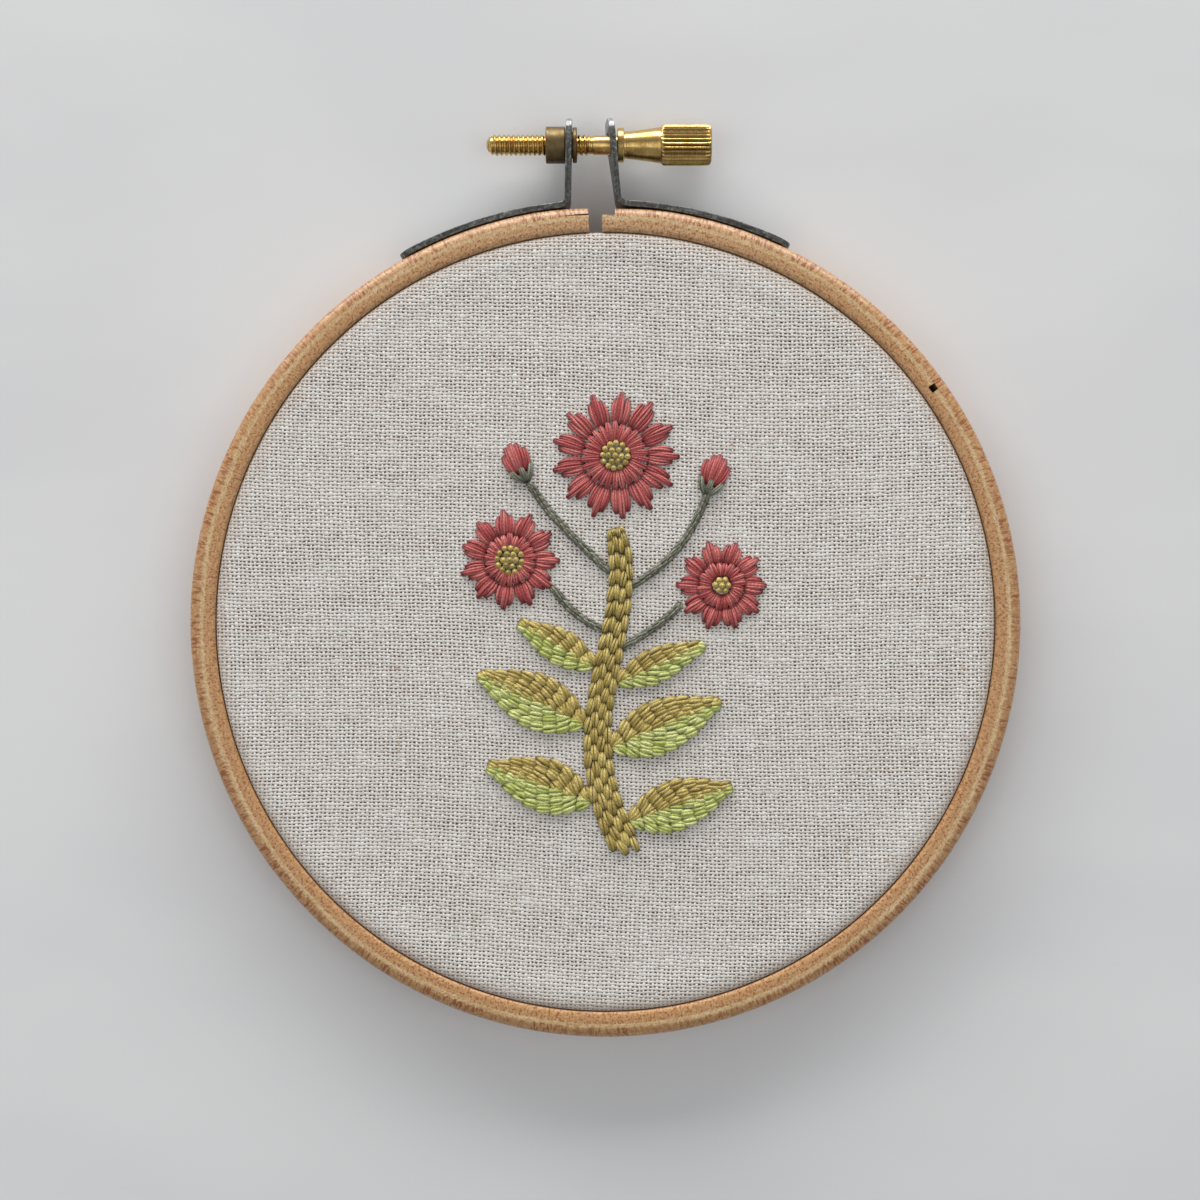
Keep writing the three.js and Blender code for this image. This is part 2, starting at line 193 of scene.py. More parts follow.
# %% Values from nodes
class Value:
    """What a node hands on. Sums and products of values add the nodes that work them out."""

    def __init__(self, nodes, socket):
        self.nodes, self.socket = nodes, socket

    def math(self, operation, *others):
        """Blender's Math node, with this value in its first socket."""
        return self.nodes.add("ShaderNodeMath", dict(enumerate((self, *others))), operation=operation)

    def __add__(self, other):
        return self.math("ADD", other)

    def __sub__(self, other):
        return self.math("SUBTRACT", other)

    def __rsub__(self, other):
        return self * -1.0 + other

    def __mul__(self, other):
        return self.math("MULTIPLY", other)

    def __truediv__(self, other):
        return self.math("DIVIDE", other)

    def ramp(self, low, high, start=0.0, end=1.0):
        """This value from low..high to start..end, smoothly, and flat outside."""
        inputs = {"Value": self, "From Min": low, "From Max": high, "To Min": start, "To Max": end}
        return self.nodes.add("ShaderNodeMapRange", inputs, interpolation_type="SMOOTHSTEP")

    def parts(self):
        """A vector's x, y and z."""
        made = self.nodes.add("ShaderNodeSeparateXYZ", {0: self}).socket.node
        return [Value(self.nodes, socket) for socket in made.outputs]


# %% [markdown]
# Wood, yarn and metal all need the same few things from the node tree: the point's place, noise that can be
# drawn out along the grain, colours laid over one another, and relief. One class holds a tree and makes them,
# and the room's light uses it too. A second adds Blender's Principled shader, whose fixed numbers are set on
# its own sockets.


# %% Node trees and finishes
class Nodes:
    """A node tree that is made by short calls."""

    def __init__(self, tree):
        self.tree = tree

    def put(self, socket, value):
        """Fills a socket with a value, a number, or a colour's red, green and blue."""
        if isinstance(value, Value):
            self.tree.links.new(value.socket, socket)
        else:
            socket.default_value = (*value, 1.0) if socket.type == "RGBA" else value

    def add(self, kind, inputs=(), output=0, **settings):
        """Adds a node, fills its inputs and hands on one of its outputs, both by number or by name."""
        made = self.tree.nodes.new(kind)
        for key, value in settings.items():
            setattr(made, key, value)
        for key, value in dict(inputs).items():
            self.put(made.inputs[key], value)
        return Value(self, made.outputs[output])

    def noise(self, point, stretch, detail=2.0, rough=0.5, scale=1.0):
        """Noise at a point, x, y and z, each first multiplied by its stretch: a small one draws it out."""
        stretch = stretch if isinstance(stretch, tuple) else (stretch,) * 3
        scaled = {k: v if s == 1 else v * s for k, (v, s) in enumerate(zip(point, stretch))}
        inputs = {"Vector": self.add("ShaderNodeCombineXYZ", scaled)}
        inputs |= {"Scale": scale, "Detail": detail, "Roughness": rough}
        return self.add("ShaderNodeTexNoise", inputs)

    def blend(self, share, a, b):
        """Two colours mixed: a where share is 0, b where it is 1."""
        return self.add("ShaderNodeMix", {0: share, 6: a, 7: b}, output=2, data_type="RGBA")

    def layers(self, colour, *more):
        """Lays colours over the first in turn. Each one is (share, colour)."""
        for share, over in more:
            colour = self.blend(share, colour, over)
        return colour


class Finish(Nodes):
    """A material on the Principled shader. Sockets are named with _ for each space."""

    def __init__(self, name, **constants):
        self.material = bpy.data.materials.new(name)
        self.material.use_nodes = True
        super().__init__(self.material.node_tree)
        self.shader = self.tree.nodes["Principled BSDF"]
        self.fill(constants)

    def fill(self, sockets):
        for socket, value in sockets.items():
            self.put(self.shader.inputs[socket.replace("_", " ")], value)

    def place(self):
        """The point's x, y and z in the frame, in metres."""
        return self.add("ShaderNodeTexCoord", output="Object").parts()

    def attribute(self, name):
        return self.add("ShaderNodeAttribute", output="Vector", attribute_name=name)

    def skin(self):
        """How far along, how far round, and the tone, as the sweep left them."""
        return self.attribute("skin").parts()

    def bump(self, height, distance, strength=1.0):
        return self.add("ShaderNodeBump", {"Height": height, "Distance": distance, "Strength": strength})

    def done(self, **sockets):
        self.fill(sockets)
        print(f"{self.material.name}: {len(self.tree.nodes)} nodes")
        return self.material


# %% [markdown]
# The hoop is bent beech. Its grain runs round the ring, and where the strip's edges are rounded over, the end
# of each ray shows as a short red-brown fleck across the grain. The mesh could be unwrapped and painted. Ring
# coordinates are simpler and have no seam in sight: the arc length round the ring, counted from the side
# opposite the split, and the share of the way from the inner edge outwards. Each colour below is laid over
# the last.

# %% Beech
BEECH = {
    "dark grain": (0.55, 0.365, 0.152),
    "pale grain": (0.66, 0.472, 0.235),
    "inner edge": (0.49, 0.235, 0.076),
    "outer edge": (0.455, 0.215, 0.066),
    "near the split": (0.62, 0.44, 0.26),
    "dark mottle": (0.38, 0.16, 0.048),
    "pale mottle": (0.70, 0.53, 0.32),
    "sanding lines": (0.75, 0.60, 0.38),
    "flecks": (0.27, 0.070, 0.012),
}
BEECH_RELIEF = 0.14 * MM


def ring_coordinates(finish):
    """The way round, outwards and up, in millimetres, and the angle from the side opposite the split."""
    x, y, z = finish.place()
    y = y - HOOP_Y
    radius = (x * x + y * y).math("SQRT")
    turn = x.math("ARCTAN2", y * -1.0)
    return turn * (RING_R / MM), radius * (1 / MM), z * (1 / MM), turn


def beech(inner, outer, face):
    """Beech for a ring between these radii, whose front face is at this height."""
    finish = Finish("beech", Specular_IOR_Level=0.45, Coat_Weight=0.7, Coat_Roughness=0.34)
    arc, radius, height, turn = ring_coordinates(finish)
    patchy = lambda a, r, h, *how: finish.noise((arc, radius, height), (a, r, h), *how)
    wander, grain = patchy(0.11, 0.2, 0.2, 3), patchy(0.10, 2.7, 1.8, 4)
    mottle = patchy(1.5, 2.1, 1.6, 4, 0.62)
    share = radius.ramp(inner / MM, outer / MM) + wander * 0.22 - 0.11
    inside, outside = share.ramp(0.48, 0.36), share.ramp(0.60, 0.72)
    near_split = turn.math("ABSOLUTE").ramp(2.3, 3.05)
    # Fine slanting lines that sanding leaves on the middle of the face.
    brushed = finish.noise((arc + radius * 1.1, arc - radius, 0.0), (3.4, 0.5, 1), 3)
    band = (share - 0.55).math("ABSOLUTE").ramp(0.26, 0.1)
    # Rays cut across show as bars on the rounded edges and the sides, and as specks elsewhere.
    ray, speck, crowd = patchy(2.9, 0.6, 0.6, 2, 0.5), patchy(3.0, 2.0, 2.0, 2, 0.6), patchy(0.3, 0.2, 0.2, 2)
    low_side = height.ramp(face / MM - 0.3, face / MM - 2.6)
    rounded = share.ramp(0.54, 0.70).math("MAXIMUM", low_side)
    bars = ray.ramp(0.53, 0.56) * crowd.ramp(0.34, 0.58, 0.6, 1.0) * rounded
    specks = speck.ramp(0.55, 0.58) * (inside * 0.55 + 0.45)
    flecks = (bars * 0.9).math("MAXIMUM", specks * 0.8)
    colour = finish.layers(
        finish.blend(grain.ramp(0.3, 0.7), BEECH["dark grain"], BEECH["pale grain"]),
        (inside * 0.75, BEECH["inner edge"]),
        (outside * 0.7, BEECH["outer edge"]),
        (near_split * 0.35, BEECH["near the split"]),
        (mottle.ramp(0.44, 0.66, 0.0, 0.5), BEECH["dark mottle"]),
        (mottle.ramp(0.46, 0.32, 0.0, 0.45), BEECH["pale mottle"]),
        (brushed.ramp(0.50, 0.62) * band * 0.45, BEECH["sanding lines"]),
        (flecks, BEECH["flecks"]),
    )
    pores = patchy(1.2, 9.0, 9.0, 2)
    relief = grain * 0.5 + brushed * 0.3 + pores * 0.35 + mottle * 0.3 + flecks * -0.3
    rough = mottle.ramp(0.3, 0.7, 0.36, 0.52)
    return finish.done(Base_Color=colour, Roughness=rough, Normal=finish.bump(relief, BEECH_RELIEF, 0.6))


# %% [markdown]
# The linen is a plain weave about 0.72 mm by 0.60 mm a yarn. Modelling every yarn would take over a million
# faces, so the weave is worked out in the nodes instead. Every point of the sheet carries its place in the
# weave, counted in yarns, so the slow waves of hand-stretched cloth bend both sets of yarns together. The
# nodes find which yarn is on top, how thick it is just there, and where four yarns leave a hole. Light and
# shade are painted into the colour as well: pale glints on the fibres, shade low between the yarns, dark
# shade in the holes, and shade with a brown bounce near the ring.

# %% Linen
LINEN = {
    "dark yarn": (0.64, 0.60, 0.545),
    "pale yarn": (0.77, 0.75, 0.71),
    "tan yarn": (0.45, 0.31, 0.17),
    # Painted glints: pale streaks that stand for light on the fibres.
    "fibre_and_glint": (0.93, 0.925, 0.91),
    # Painted shade for the low places between the yarns.
    "low": (0.32, 0.205, 0.14),
    # Painted shade seen through the holes in the weave.
    "hole": (0.10, 0.046, 0.024),
    # Painted shade with a brown bounce from the wood, near the ring.
    "painted shade and bounce by the ring": (0.42, 0.32, 0.24),
}
LINEN_RELIEF = 0.12 * MM
SHAKE = {"size": 0.42, "yarns": (0.95, 0.95, 0.0)}
YARN_APART = 9.7
YARN_RULES = (
    {"name": "warp", "other": "weft", "seed": 3.0, "over": 0.5, "fat": -0.02},
    {"name": "weft", "other": "warp", "seed": 71.0, "over": -0.5, "fat": 0.035},
)


def shaken_weave(finish):
    """The place in the weave, in yarns, with each yarn a little off its line, as flax yarn lies."""
    even = finish.attribute("weave")
    inputs = {"Vector": even, "Scale": SHAKE["size"], "Detail": 2.0, "Roughness": 0.65}
    off = finish.add("ShaderNodeTexNoise", inputs, output=1)
    off = finish.add("ShaderNodeVectorMath", {0: off, 1: (0.5, 0.5, 0.5)}, operation="SUBTRACT")
    inputs = {0: off, 1: SHAKE["yarns"], 2: even}
    u, v, _ = finish.add("ShaderNodeVectorMath", inputs, operation="MULTIPLY_ADD").parts()
    return u, v


def linen():
    """Plain-woven linen for a sheet whose points carry their place in the weave."""
    finish = Finish("linen", Roughness=0.85, Specular_IOR_Level=0.2, Sheen_Weight=0.2, Sheen_Roughness=0.5)
    # Which yarn of each set the point is in, how far along it, and how far from its middle.
    u, v = shaken_weave(finish)
    along = {"warp": v, "weft": u}
    number = {"warp": u.math("FLOOR"), "weft": v.math("FLOOR")}
    across = {"warp": u.math("FRACT") - 0.5, "weft": v.math("FRACT") - 0.5}
    # The two sets take turns on top, as on a chessboard.
    parity = (number["warp"] + number["weft"]).math("FLOORED_MODULO", 2.0)
    warp_over = 1.0 - parity * 2.0
    open_weave = finish.noise((u, v, 5.0), (0.035, 0.13, 1), 3)
    height, fibre_and_glint, tone = {}, {}, {}
    for rule in YARN_RULES:
        # Each yarn has thin places and thick ones, a round top, and a rise where it passes over.
        name, seed = rule["name"], rule["seed"]
        place = lambda shift: (number[name], along[name], seed + shift)
        yarn = lambda scale, shift, *how: finish.noise(place(shift), (YARN_APART, scale, 1), *how)
        uneven, slub = yarn(0.55, 0.0, 2, 0.6), yarn(0.2, 90.0, 1)
        thick = uneven.ramp(0.28, 0.72, 0.25, 0.375) + slub.ramp(0.62, 0.74, 0.0, 0.17)
        thick = thick + open_weave.ramp(0.3, 0.7, -0.025, 0.025) + rule["fat"]
        wall = across[name] / thick
        crown = (1.0 - wall * wall).math("MAXIMUM", 0.0).math("SQRT")
        crimp = (across[rule["other"]] * math.pi).math("COSINE") * warp_over * rule["over"]
        height[name] = (crimp + crown * 0.6 + 1.0) * crown.math("GREATER_THAN", 0.001)
        fibre_and_glint[name] = finish.noise((across[name], along[name], number[name] + seed), (7.0, 1.7, 1), 2)
        tone[name] = yarn(0.09, 40.0, 2)
    # The higher yarn is the one that shows, and where neither reaches there is a hole.
    top = height["warp"].math("MAXIMUM", height["weft"])
    warp_shows = height["warp"].math("GREATER_THAN", height["weft"])
    # The fibre noise of the yarn on top, for the bump and for the painted glints.
    strand = finish.blend(warp_shows, fibre_and_glint["weft"], fibre_and_glint["warp"])
    shade = finish.blend(warp_shows, tone["weft"], tone["warp"])
    radius = ring_coordinates(finish)[1]
    colour = finish.layers(
        finish.blend(shade.ramp(0.3, 0.7), LINEN["dark yarn"], LINEN["pale yarn"]),
        (shade.ramp(0.29, 0.24, 0.0, 0.7), LINEN["tan yarn"]),
        # Painted glints on the fibres of the yarn on top.
        (strand.ramp(0.43, 0.70, 0.0, 0.55), LINEN["fibre_and_glint"]),
        # Painted shade: darker where the yarns lie low.
        (top.ramp(1.5, 0.8, 0.0, 0.85), LINEN["low"]),
        # The holes are painted dark as the shade under the cloth.
        (top.ramp(0.6, 0.1), LINEN["hole"]),
        # Painted shade and brown bounce light near the ring.
        (radius.ramp(61.6, 64.2, 0.0, 0.4), LINEN["painted shade and bounce by the ring"]),
    )
    return finish.done(Base_Color=colour, Normal=finish.bump(top + strand * 0.3, LINEN_RELIEF, 1.0))


# %% [markdown]
# Stranded cotton has a soft lustre: each strand is two plies twisted together, so fine slanting lines run
# along it. The plies could be modelled too, but at this size a wave in the colour, painted as shade in the
# grooves between the plies, and the bump looks the same. Every strand keeps its own tone, and the part of a
# stitch that dives into the cloth is darkened with painted shade.

# %% Floss
FLOSS_RELIEF = 0.05 * MM
PLY = {"along": 1.7, "around": 2.0}
DIVE_SHADE_HEIGHTS = {"starts": 0.72 * MM, "ends": 0.12 * MM}


def floss(name, deep, mid, light):
    """Stranded cotton, from its deep tone, which gives dark fuzz and painted shade low on the stitch and
    between the plies, to the colour of its palest strand.
    """
    finish = Finish(name, Roughness=0.42, Specular_IOR_Level=0.45, Sheen_Weight=0.25, Sheen_Roughness=0.4)
    x, y, z = finish.place()
    along, around, tone = finish.skin()
    fuzz = finish.noise((x, y, z), 1 / MM, 3, 0.6, scale=5.0)
    ply = ((along * PLY["along"] + around * PLY["around"]) * (2 * math.pi)).math("SINE")
    # Painted shade: darker the lower a point lies, towards the cloth.
    low = z.ramp(CLOTH_TOP + DIVE_SHADE_HEIGHTS["starts"], CLOTH_TOP + DIVE_SHADE_HEIGHTS["ends"])
    colour = finish.layers(
        # Each strand's own tone, partly dye and partly painted highlight.
        finish.blend(tone.ramp(0.0, 1.0), mid, light),
        (fuzz.ramp(0.58, 0.34, 0.0, 0.5), deep),
        # Painted shade in the grooves between the plies.
        (ply.ramp(0.2, -0.9, 0.0, 0.22), deep),
        # Painted shade where the stitch dives low into the cloth.
        (low * 0.85, deep),
    )
    return finish.done(Base_Color=colour, Normal=finish.bump(fuzz + ply * 0.25, FLOSS_RELIEF, 0.7))


# %% [markdown]
# The screw is bright turned brass. Lathe lines could be cut into the mesh, but they are finer than a face
# should be, so noise that is drawn out round the screw gives them. Its stains fade in and out, and the
# grooves of the head are darker, which the material finds by how far a point lies from the screw's line.

# %% Brass
BRASS = {
    "clean": (0.77, 0.535, 0.20),
    "stained": (0.50, 0.31, 0.10),
    "lathe lines": (0.34, 0.21, 0.065),
    "darker grooves": (0.13, 0.07, 0.016),
}


def brass(line_y, line_z, head_start, head_radius):
    """Bright brass for a screw along the line at y and z. Its head's start and radius place the darker
    grooves.
    """
    finish = Finish("bright brass", Metallic=1.0)
    x, y, z = finish.place()
    lines = finish.noise((x, y, z), (9 / MM, 0.15 / MM, 0.15 / MM), 2)
    stain = finish.noise((x, y, z), 0.6 / MM, 4, 0.6)
    off_y, off_z = y - line_y, z - line_z
    reach = (off_y * off_y + off_z * off_z).math("SQRT")
    groove = reach.ramp(head_radius - 0.04 * MM, head_radius - 0.24 * MM)
    groove = groove * x.ramp(head_start + 0.3 * MM, head_start + 0.5 * MM)
    colour = finish.layers(
        finish.blend(stain.ramp(0.35, 0.7), BRASS["clean"], BRASS["stained"]),
        (lines.ramp(0.6, 0.35, 0.0, 0.3), BRASS["lathe lines"]),
        # Darker colour in the grooves of the knurled head.
        (groove * 0.5, BRASS["darker grooves"]),
    )
    rough = stain.ramp(0.3, 0.7, 0.18, 0.32)
    return finish.done(Base_Color=colour, Roughness=rough, Normal=finish.bump(lines, 0.03 * MM, 0.45))


# %% [markdown]
# The nut is the same metal left to dull to a brown bronze, and the straps are dark steel strip. Mill scale
# gives the steel its streaks and pits, and it is worn to bare metal on the sheared edges and the tips. The
# mesh marks those edges in its tone, so the wear stays on them from any side, which a rule on slope or light
# would not do.

# %% Bronze and steel
BRONZE = {"brown": (0.21, 0.15, 0.07), "dark": (0.13, 0.088, 0.038)}
STEEL = {
    "dark scale": (0.060, 0.062, 0.056),
    "pale scale": (0.15, 0.152, 0.14),
    "rubbed": (0.30, 0.30, 0.285),
    "bare": (0.47, 0.49, 0.52),
    "pits": (0.045, 0.044, 0.040),
    "glints": (0.40, 0.40, 0.41),
}


def bronze():
    finish = Finish("dull bronze", Metallic=0.85)
    place = finish.place()
    lines = finish.noise(place, (6 / MM, 0.2 / MM, 0.2 / MM), 2)
    spots = finish.noise(place, 1.1 / MM, 4, 0.55)
    colour = finish.blend(spots.ramp(0.3, 0.75), BRONZE["brown"], BRONZE["dark"])
    rough = spots.ramp(0.3, 0.7, 0.38, 0.5)
    return finish.done(Base_Color=colour, Roughness=rough, Normal=finish.bump(lines + spots, 0.015 * MM, 0.4))


def dark_steel():
    finish = Finish("dark steel", Metallic=0.6)
    place = finish.place()
    along, around, worn = finish.skin()
    rolled = finish.noise((along, around, place[2]), (0.22, 42.0, 1.2 / MM), 4, 0.6)
    patch = finish.noise(place, 1.6 / MM, 4, 0.7)
    pits = finish.noise(place, 2.1 / MM, 3, 0.6)
    bare = worn.ramp(0.15, 0.95) * patch.ramp(0.36, 0.64, 0.4, 1.0)
    colour = finish.layers(
        finish.blend(rolled.ramp(0.36, 0.66), STEEL["dark scale"], STEEL["pale scale"]),
        (patch.ramp(0.56, 0.70, 0.0, 0.45), STEEL["rubbed"]),
        (bare, STEEL["bare"]),
        (pits.ramp(0.53, 0.60, 0.0, 0.8), STEEL["pits"]),
        (pits.ramp(0.43, 0.36, 0.0, 0.45), STEEL["glints"]),
    )
    rough = rolled.ramp(0.3, 0.7, 0.34, 0.5)
    relief = finish.bump(patch + rolled + pits * -0.6, 0.04 * MM, 0.6)
    return finish.done(Base_Color=colour, Roughness=rough, Normal=relief)


# %% [markdown]
# ## The rings
# The outer ring is one bent strip with its front edge rounded over, split at the top. A profile could be spun
# with a Screw modifier, but then every section would be the same. Here the section is swept round in small
# steps and each step may differ: hand sanding leaves the front edge uneven, the ends are sanded thinner, and
# beside the split the outermost layer of the right end stops early and leaves a step.

# %% Ring sections
RING_INNER = 64.5 * MM
FRONT_INSIDE = (1.0 * MM, 0.55 * MM)
FRONT_OUTSIDE = (1.9 * MM, 1.5 * MM)
BACK_EDGE = 0.7 * MM
SPLIT = {"left": -2.75 * MM, "right": -0.55 * MM, "step": 1.55 * MM, "layer": 1.55 * MM}
SANDED = {"uneven": 0.05 * MM, "thinned": 0.42 * MM, "reach": 0.16, "ease": 0.12 * MM, "end": 0.965}
RING_STEPS = {"round": 700, "past the step": 8, "gap": 0.0004}
ANY_ANGLE = (0, 6.28)


def rounded_section(inner, outer, depth, inside, outside, back, fine=9, coarse=4):
    """(radius, height) points round a ring's section. The two front edges are eased over (width, depth)."""
    corners = [
        (outer - back, back, back, back, -90, 0, coarse),
        (outer - outside[0], depth - outside[1], *outside, 0, 90, fine),
        (inner + inside[0], depth - inside[1], *inside, 90, 180, fine),
        (inner + back, back, back, back, 180, 270, coarse),
    ]
    points = []
    for r, h, wide, high, start, end, steps in corners:
        for k in range(steps + 1):
            angle = math.radians(start + (end - start) * k / steps)
            points.append((r + wide * math.cos(angle), h + high * math.sin(angle)))
    return np.array(points)


def ring_row(section, angle):
    """A section of the ring, as points at its place round the hoop."""
    r, h = section[:, 0], section[:, 1]
    return np.stack([r * math.cos(angle), HOOP_Y + r * math.sin(angle), h], -1)


def ring_angle(x, radius=(RING_INNER + RING_R) / 2):
    """Where the ring, near its top, crosses a line at x."""
    return math.acos(x / radius)


def sanded(section, angle, wander):
    """The section as hand sanding left it at this angle."""
    shape = section.copy()
    uneven = SANDED["uneven"] * (math.sin(5 * angle + wander[0]) + 0.6 * math.sin(13 * angle + wander[1]))
    front = np.clip((shape[:, 1] - RING_FACE / 2) / (RING_FACE / 2), 0, 1)
    shape[:, 1] -= front * abs(uneven)
    from_split = abs((angle - math.pi / 2 + math.pi) % (2 * math.pi) - math.pi)
    thinned = SANDED["thinned"] * max(0.0, 1 - from_split / SANDED["reach"]) ** 1.5
    outward = np.clip((shape[:, 0] - RING_INNER) / (RING_R - RING_INNER), 0, 1)
    shape[:, 0] -= outward * thinned
    return shape


def outer_ring_rows():
    """(angle, section) all round the ring, from its left end to its right end."""
    section = rounded_section(RING_INNER, RING_R, RING_FACE, FRONT_INSIDE, FRONT_OUTSIDE, BACK_EDGE)
    start, end = ring_angle(SPLIT["left"]), ring_angle(SPLIT["right"]) + 2 * math.pi
    step = ring_angle(SPLIT["step"], RING_R - SPLIT["layer"]) + 2 * math.pi
    rng = random.Random(5)
    wander = [rng.uniform(*ANY_ANGLE) for _ in range(2)]
    rows = []
    past = np.linspace(step + RING_STEPS["gap"], end, RING_STEPS["past the step"])
    for angle in [*np.linspace(start, step, RING_STEPS["round"]), *past]:
        shape = sanded(section, angle, wander)
        if angle > step:
            shape[:, 0] = np.minimum(shape[:, 0], RING_R - SPLIT["layer"])
        rows.append((angle, shape))
    # Each end is a little smaller over its last tenth of a millimetre, so its edges aren't knife sharp.
    middle = section.mean(0)
    turn = SANDED["ease"] / RING_R
    for place, inward in ((0, turn), (-1, -turn)):
        angle, shape = rows[place]
        rows[place] = (angle + inward, shape)
        eased = (angle, middle + (shape - middle) * SANDED["end"])
        rows.insert(0 if inward > 0 else len(rows), eased)
    print("outer ring from", math.degrees(start), "to", math.degrees(end), "degrees")
    return rows


# %% [markdown]
# Two small things make the ring a real one: a square pin hole at the upper right, and, at the left end, the
# start of a split between the same layers. Both are cut with closed shapes and not drawn as dark paint, so
# they hold their own shadow.

# %% Outer ring
PIN_HOLE = {"angle": math.radians(35.5), "radius": 66.5 * MM, "side": 1.2 * MM, "depth": 5.0 * MM}
CRACK = {"from outside": 1.0 * MM, "before the end": 0.004, "reach": 0.075}
CRACK_HALF = (0.15 * MM, 0.09 * MM, 0.008 * MM)
CRACK_HEIGHTS = (-1 * MM, 11 * MM)


def pin_hole():
    """A square cutter that stands on the ring's face, turned to look at the ring's middle."""
    angle, half = PIN_HOLE["angle"], PIN_HOLE["side"] / 2
    cos, sin = math.cos(angle), math.sin(angle)
    x, y = PIN_HOLE["radius"] * cos, HOOP_Y + PIN_HOLE["radius"] * sin
    corners = [(-half, -half), (half, -half), (half, half), (-half, half)]
    square = [(x + (u * cos - v * sin), y + (u * sin + v * cos)) for u, v in corners]
    depths = (-PIN_HOLE["depth"], PIN_HOLE["depth"])
    return solid("pin_hole", [[(u, v, RING_FACE + h) for u, v in square] for h in depths])


def crack():
    """A thin wedge that closes a few millimetres in from the left end."""
    layer = RING_R - SANDED["thinned"] - CRACK["from outside"]
    low, high = CRACK_HEIGHTS
    rows = []
    for share, half in zip((0.0, 0.5, 1.0), CRACK_HALF):
        corners = [(layer - half, low), (layer + half, low), (layer + half, high), (layer - half, high)]
        angle = ring_angle(SPLIT["left"]) - CRACK["before the end"] + share * CRACK["reach"]
        rows.append(ring_row(np.array(corners), angle))
    return solid("crack", rows)


def outer_ring():
    obj = solid("hoop_outer_ring", [ring_row(shape, angle) for angle, shape in outer_ring_rows()])
    cut(obj, pin_hole(), crack())
    return smooth_under(obj, 38)


dress(outer_ring(), beech(RING_INNER, RING_R, RING_FACE), "ring_wood", "hoop", "outer_ring")


# %% [markdown]
# The inner ring is hidden under the cloth, and only its inside and its back edge show from behind. It is a
# closed band of the same wood. A torus or a tube could stand in for it, but the same sweep gives it eased
# edges and the same grain, so it looks right when the hoop is turned over.

# %% Inner ring
_, inner_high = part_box("inner_ring")
INNER_OUTER = inner_high.x
INNER_WALL = 4.0 * MM
INNER_EASED = 0.8 * MM


def inner_ring():
    eased = (INNER_EASED, INNER_EASED)
    inner = INNER_OUTER - INNER_WALL
    section = rounded_section(inner, INNER_OUTER, inner_high.z, eased, eased, INNER_EASED, 5, 5)
    angles = np.linspace(0, 2 * math.pi, 360, endpoint=False)
    return smooth_under(solid("hoop_inner_ring", [ring_row(section, a) for a in angles], loop=True), 40)


inner_wood = beech(INNER_OUTER - INNER_WALL, INNER_OUTER, inner_high.z)
dress(inner_ring(), inner_wood, "ring_wood", "hoop", "inner_ring")


# %% [markdown]
# ## The linen
# One round of cloth lies flat across the hoop, turns down over the inner ring and is pinched between the
# rings, where it is trimmed near the back. A cloth simulation could stretch it, but drum-tight linen has no
# folds to find, so its line is drawn directly: across the face, round the edge and down. The face isn't quite
# flat, because stretched linen keeps a soft unevenness from the pull of the hoop and of the stitches.

# %% Cloth line
YARN = {"warp": 0.72 * MM, "weft": 0.60 * MM}
CLOTH_EDGE = 0.9 * MM
CLOTH_RIM = RING_INNER - 0.09 * MM
CLOTH_SPOKES = 256
CLOTH_RINGS = 104
CLOTH_BEND = 8
RIDGE = {"high": 0.13 * MM, "radius": 61.4, "width": 1.9}
UNEVEN = 0.05 * MM


def weave_place(x, y):
    """How many yarns from the middle a point is, with the slow waves of the stretched cloth."""
    u, v = x / MM, y / MM
    lean = 0.020 * u + 0.9 * np.sin(u / 31 + v / 57 + 0.6) + 0.45 * np.sin(u / 13 - v / 41)
    sway = 0.55 * np.sin(v / 27 + u / 70) + 0.3 * np.sin(v / 11 + u / 33 + 1.2)
    return (u + sway) * MM / YARN["warp"], (v + lean) * MM / YARN["weft"]


def cloth_profile():
    """The sheet's (radius, height) along the face, over the edge and down between the rings."""
    turn_r, turn_z = CLOTH_RIM - CLOTH_EDGE, CLOTH_TOP - CLOTH_EDGE
    ridge = lambda r: RIDGE["high"] * math.exp(-(((r / MM - RIDGE["radius"]) / RIDGE["width"]) ** 2))
    face = [(r, CLOTH_TOP + ridge(r)) for r in (turn_r * k / CLOTH_RINGS for k in range(1, CLOTH_RINGS + 1))]
    steps = range(1, CLOTH_BEND + 1)
    bend = [math.radians(90 - 90 * k / CLOTH_BEND) for k in steps]
    edge = [(turn_r + CLOTH_EDGE * math.cos(a), turn_z + CLOTH_EDGE * math.sin(a)) for a in bend]
    skirt = [(CLOTH_RIM, turn_z + (cloth_low.z - turn_z) * k / CLOTH_BEND) for k in steps]
    return face + edge + skirt


# %% [markdown]
# The mesh is a fan of rings round the middle. While it is laid out, the length walked along the cloth's own
# line is measured. That length gives the size that the linen was cut to, and the place in the weave, so that
# the yarns keep their width where the cloth turns down.

# %% Cloth sheet
def cloth_rings():
    """The rings' points, the same points laid flat, and how far it is along the cloth to the last ring."""
    spokes = np.linspace(0, 2 * math.pi, CLOTH_SPOKES, endpoint=False)
    cos, sin = np.cos(spokes), np.sin(spokes)
    rings, flat = [[[0, HOOP_Y, CLOTH_TOP]]], [[[0.0, 0.0]]]
    length, last = 0.0, (0.0, CLOTH_TOP)
    for r, h in cloth_profile():
        length += math.dist((r, h), last)
        last = (r, h)
        calm = max(0.0, 1 - (r / CLOTH_RIM) ** 6)
        x, y = r * cos, r * sin
        soft = np.sin(x / (9 * MM) + y / (23 * MM)) * np.sin(y / (12 * MM) - x / (31 * MM) + 0.7)
        rings.append(np.stack([x, y + HOOP_Y, h + UNEVEN * calm * soft], -1))
        flat.append(np.stack([length * cos, length * sin], -1))
    return np.concatenate(rings), np.concatenate(flat), length


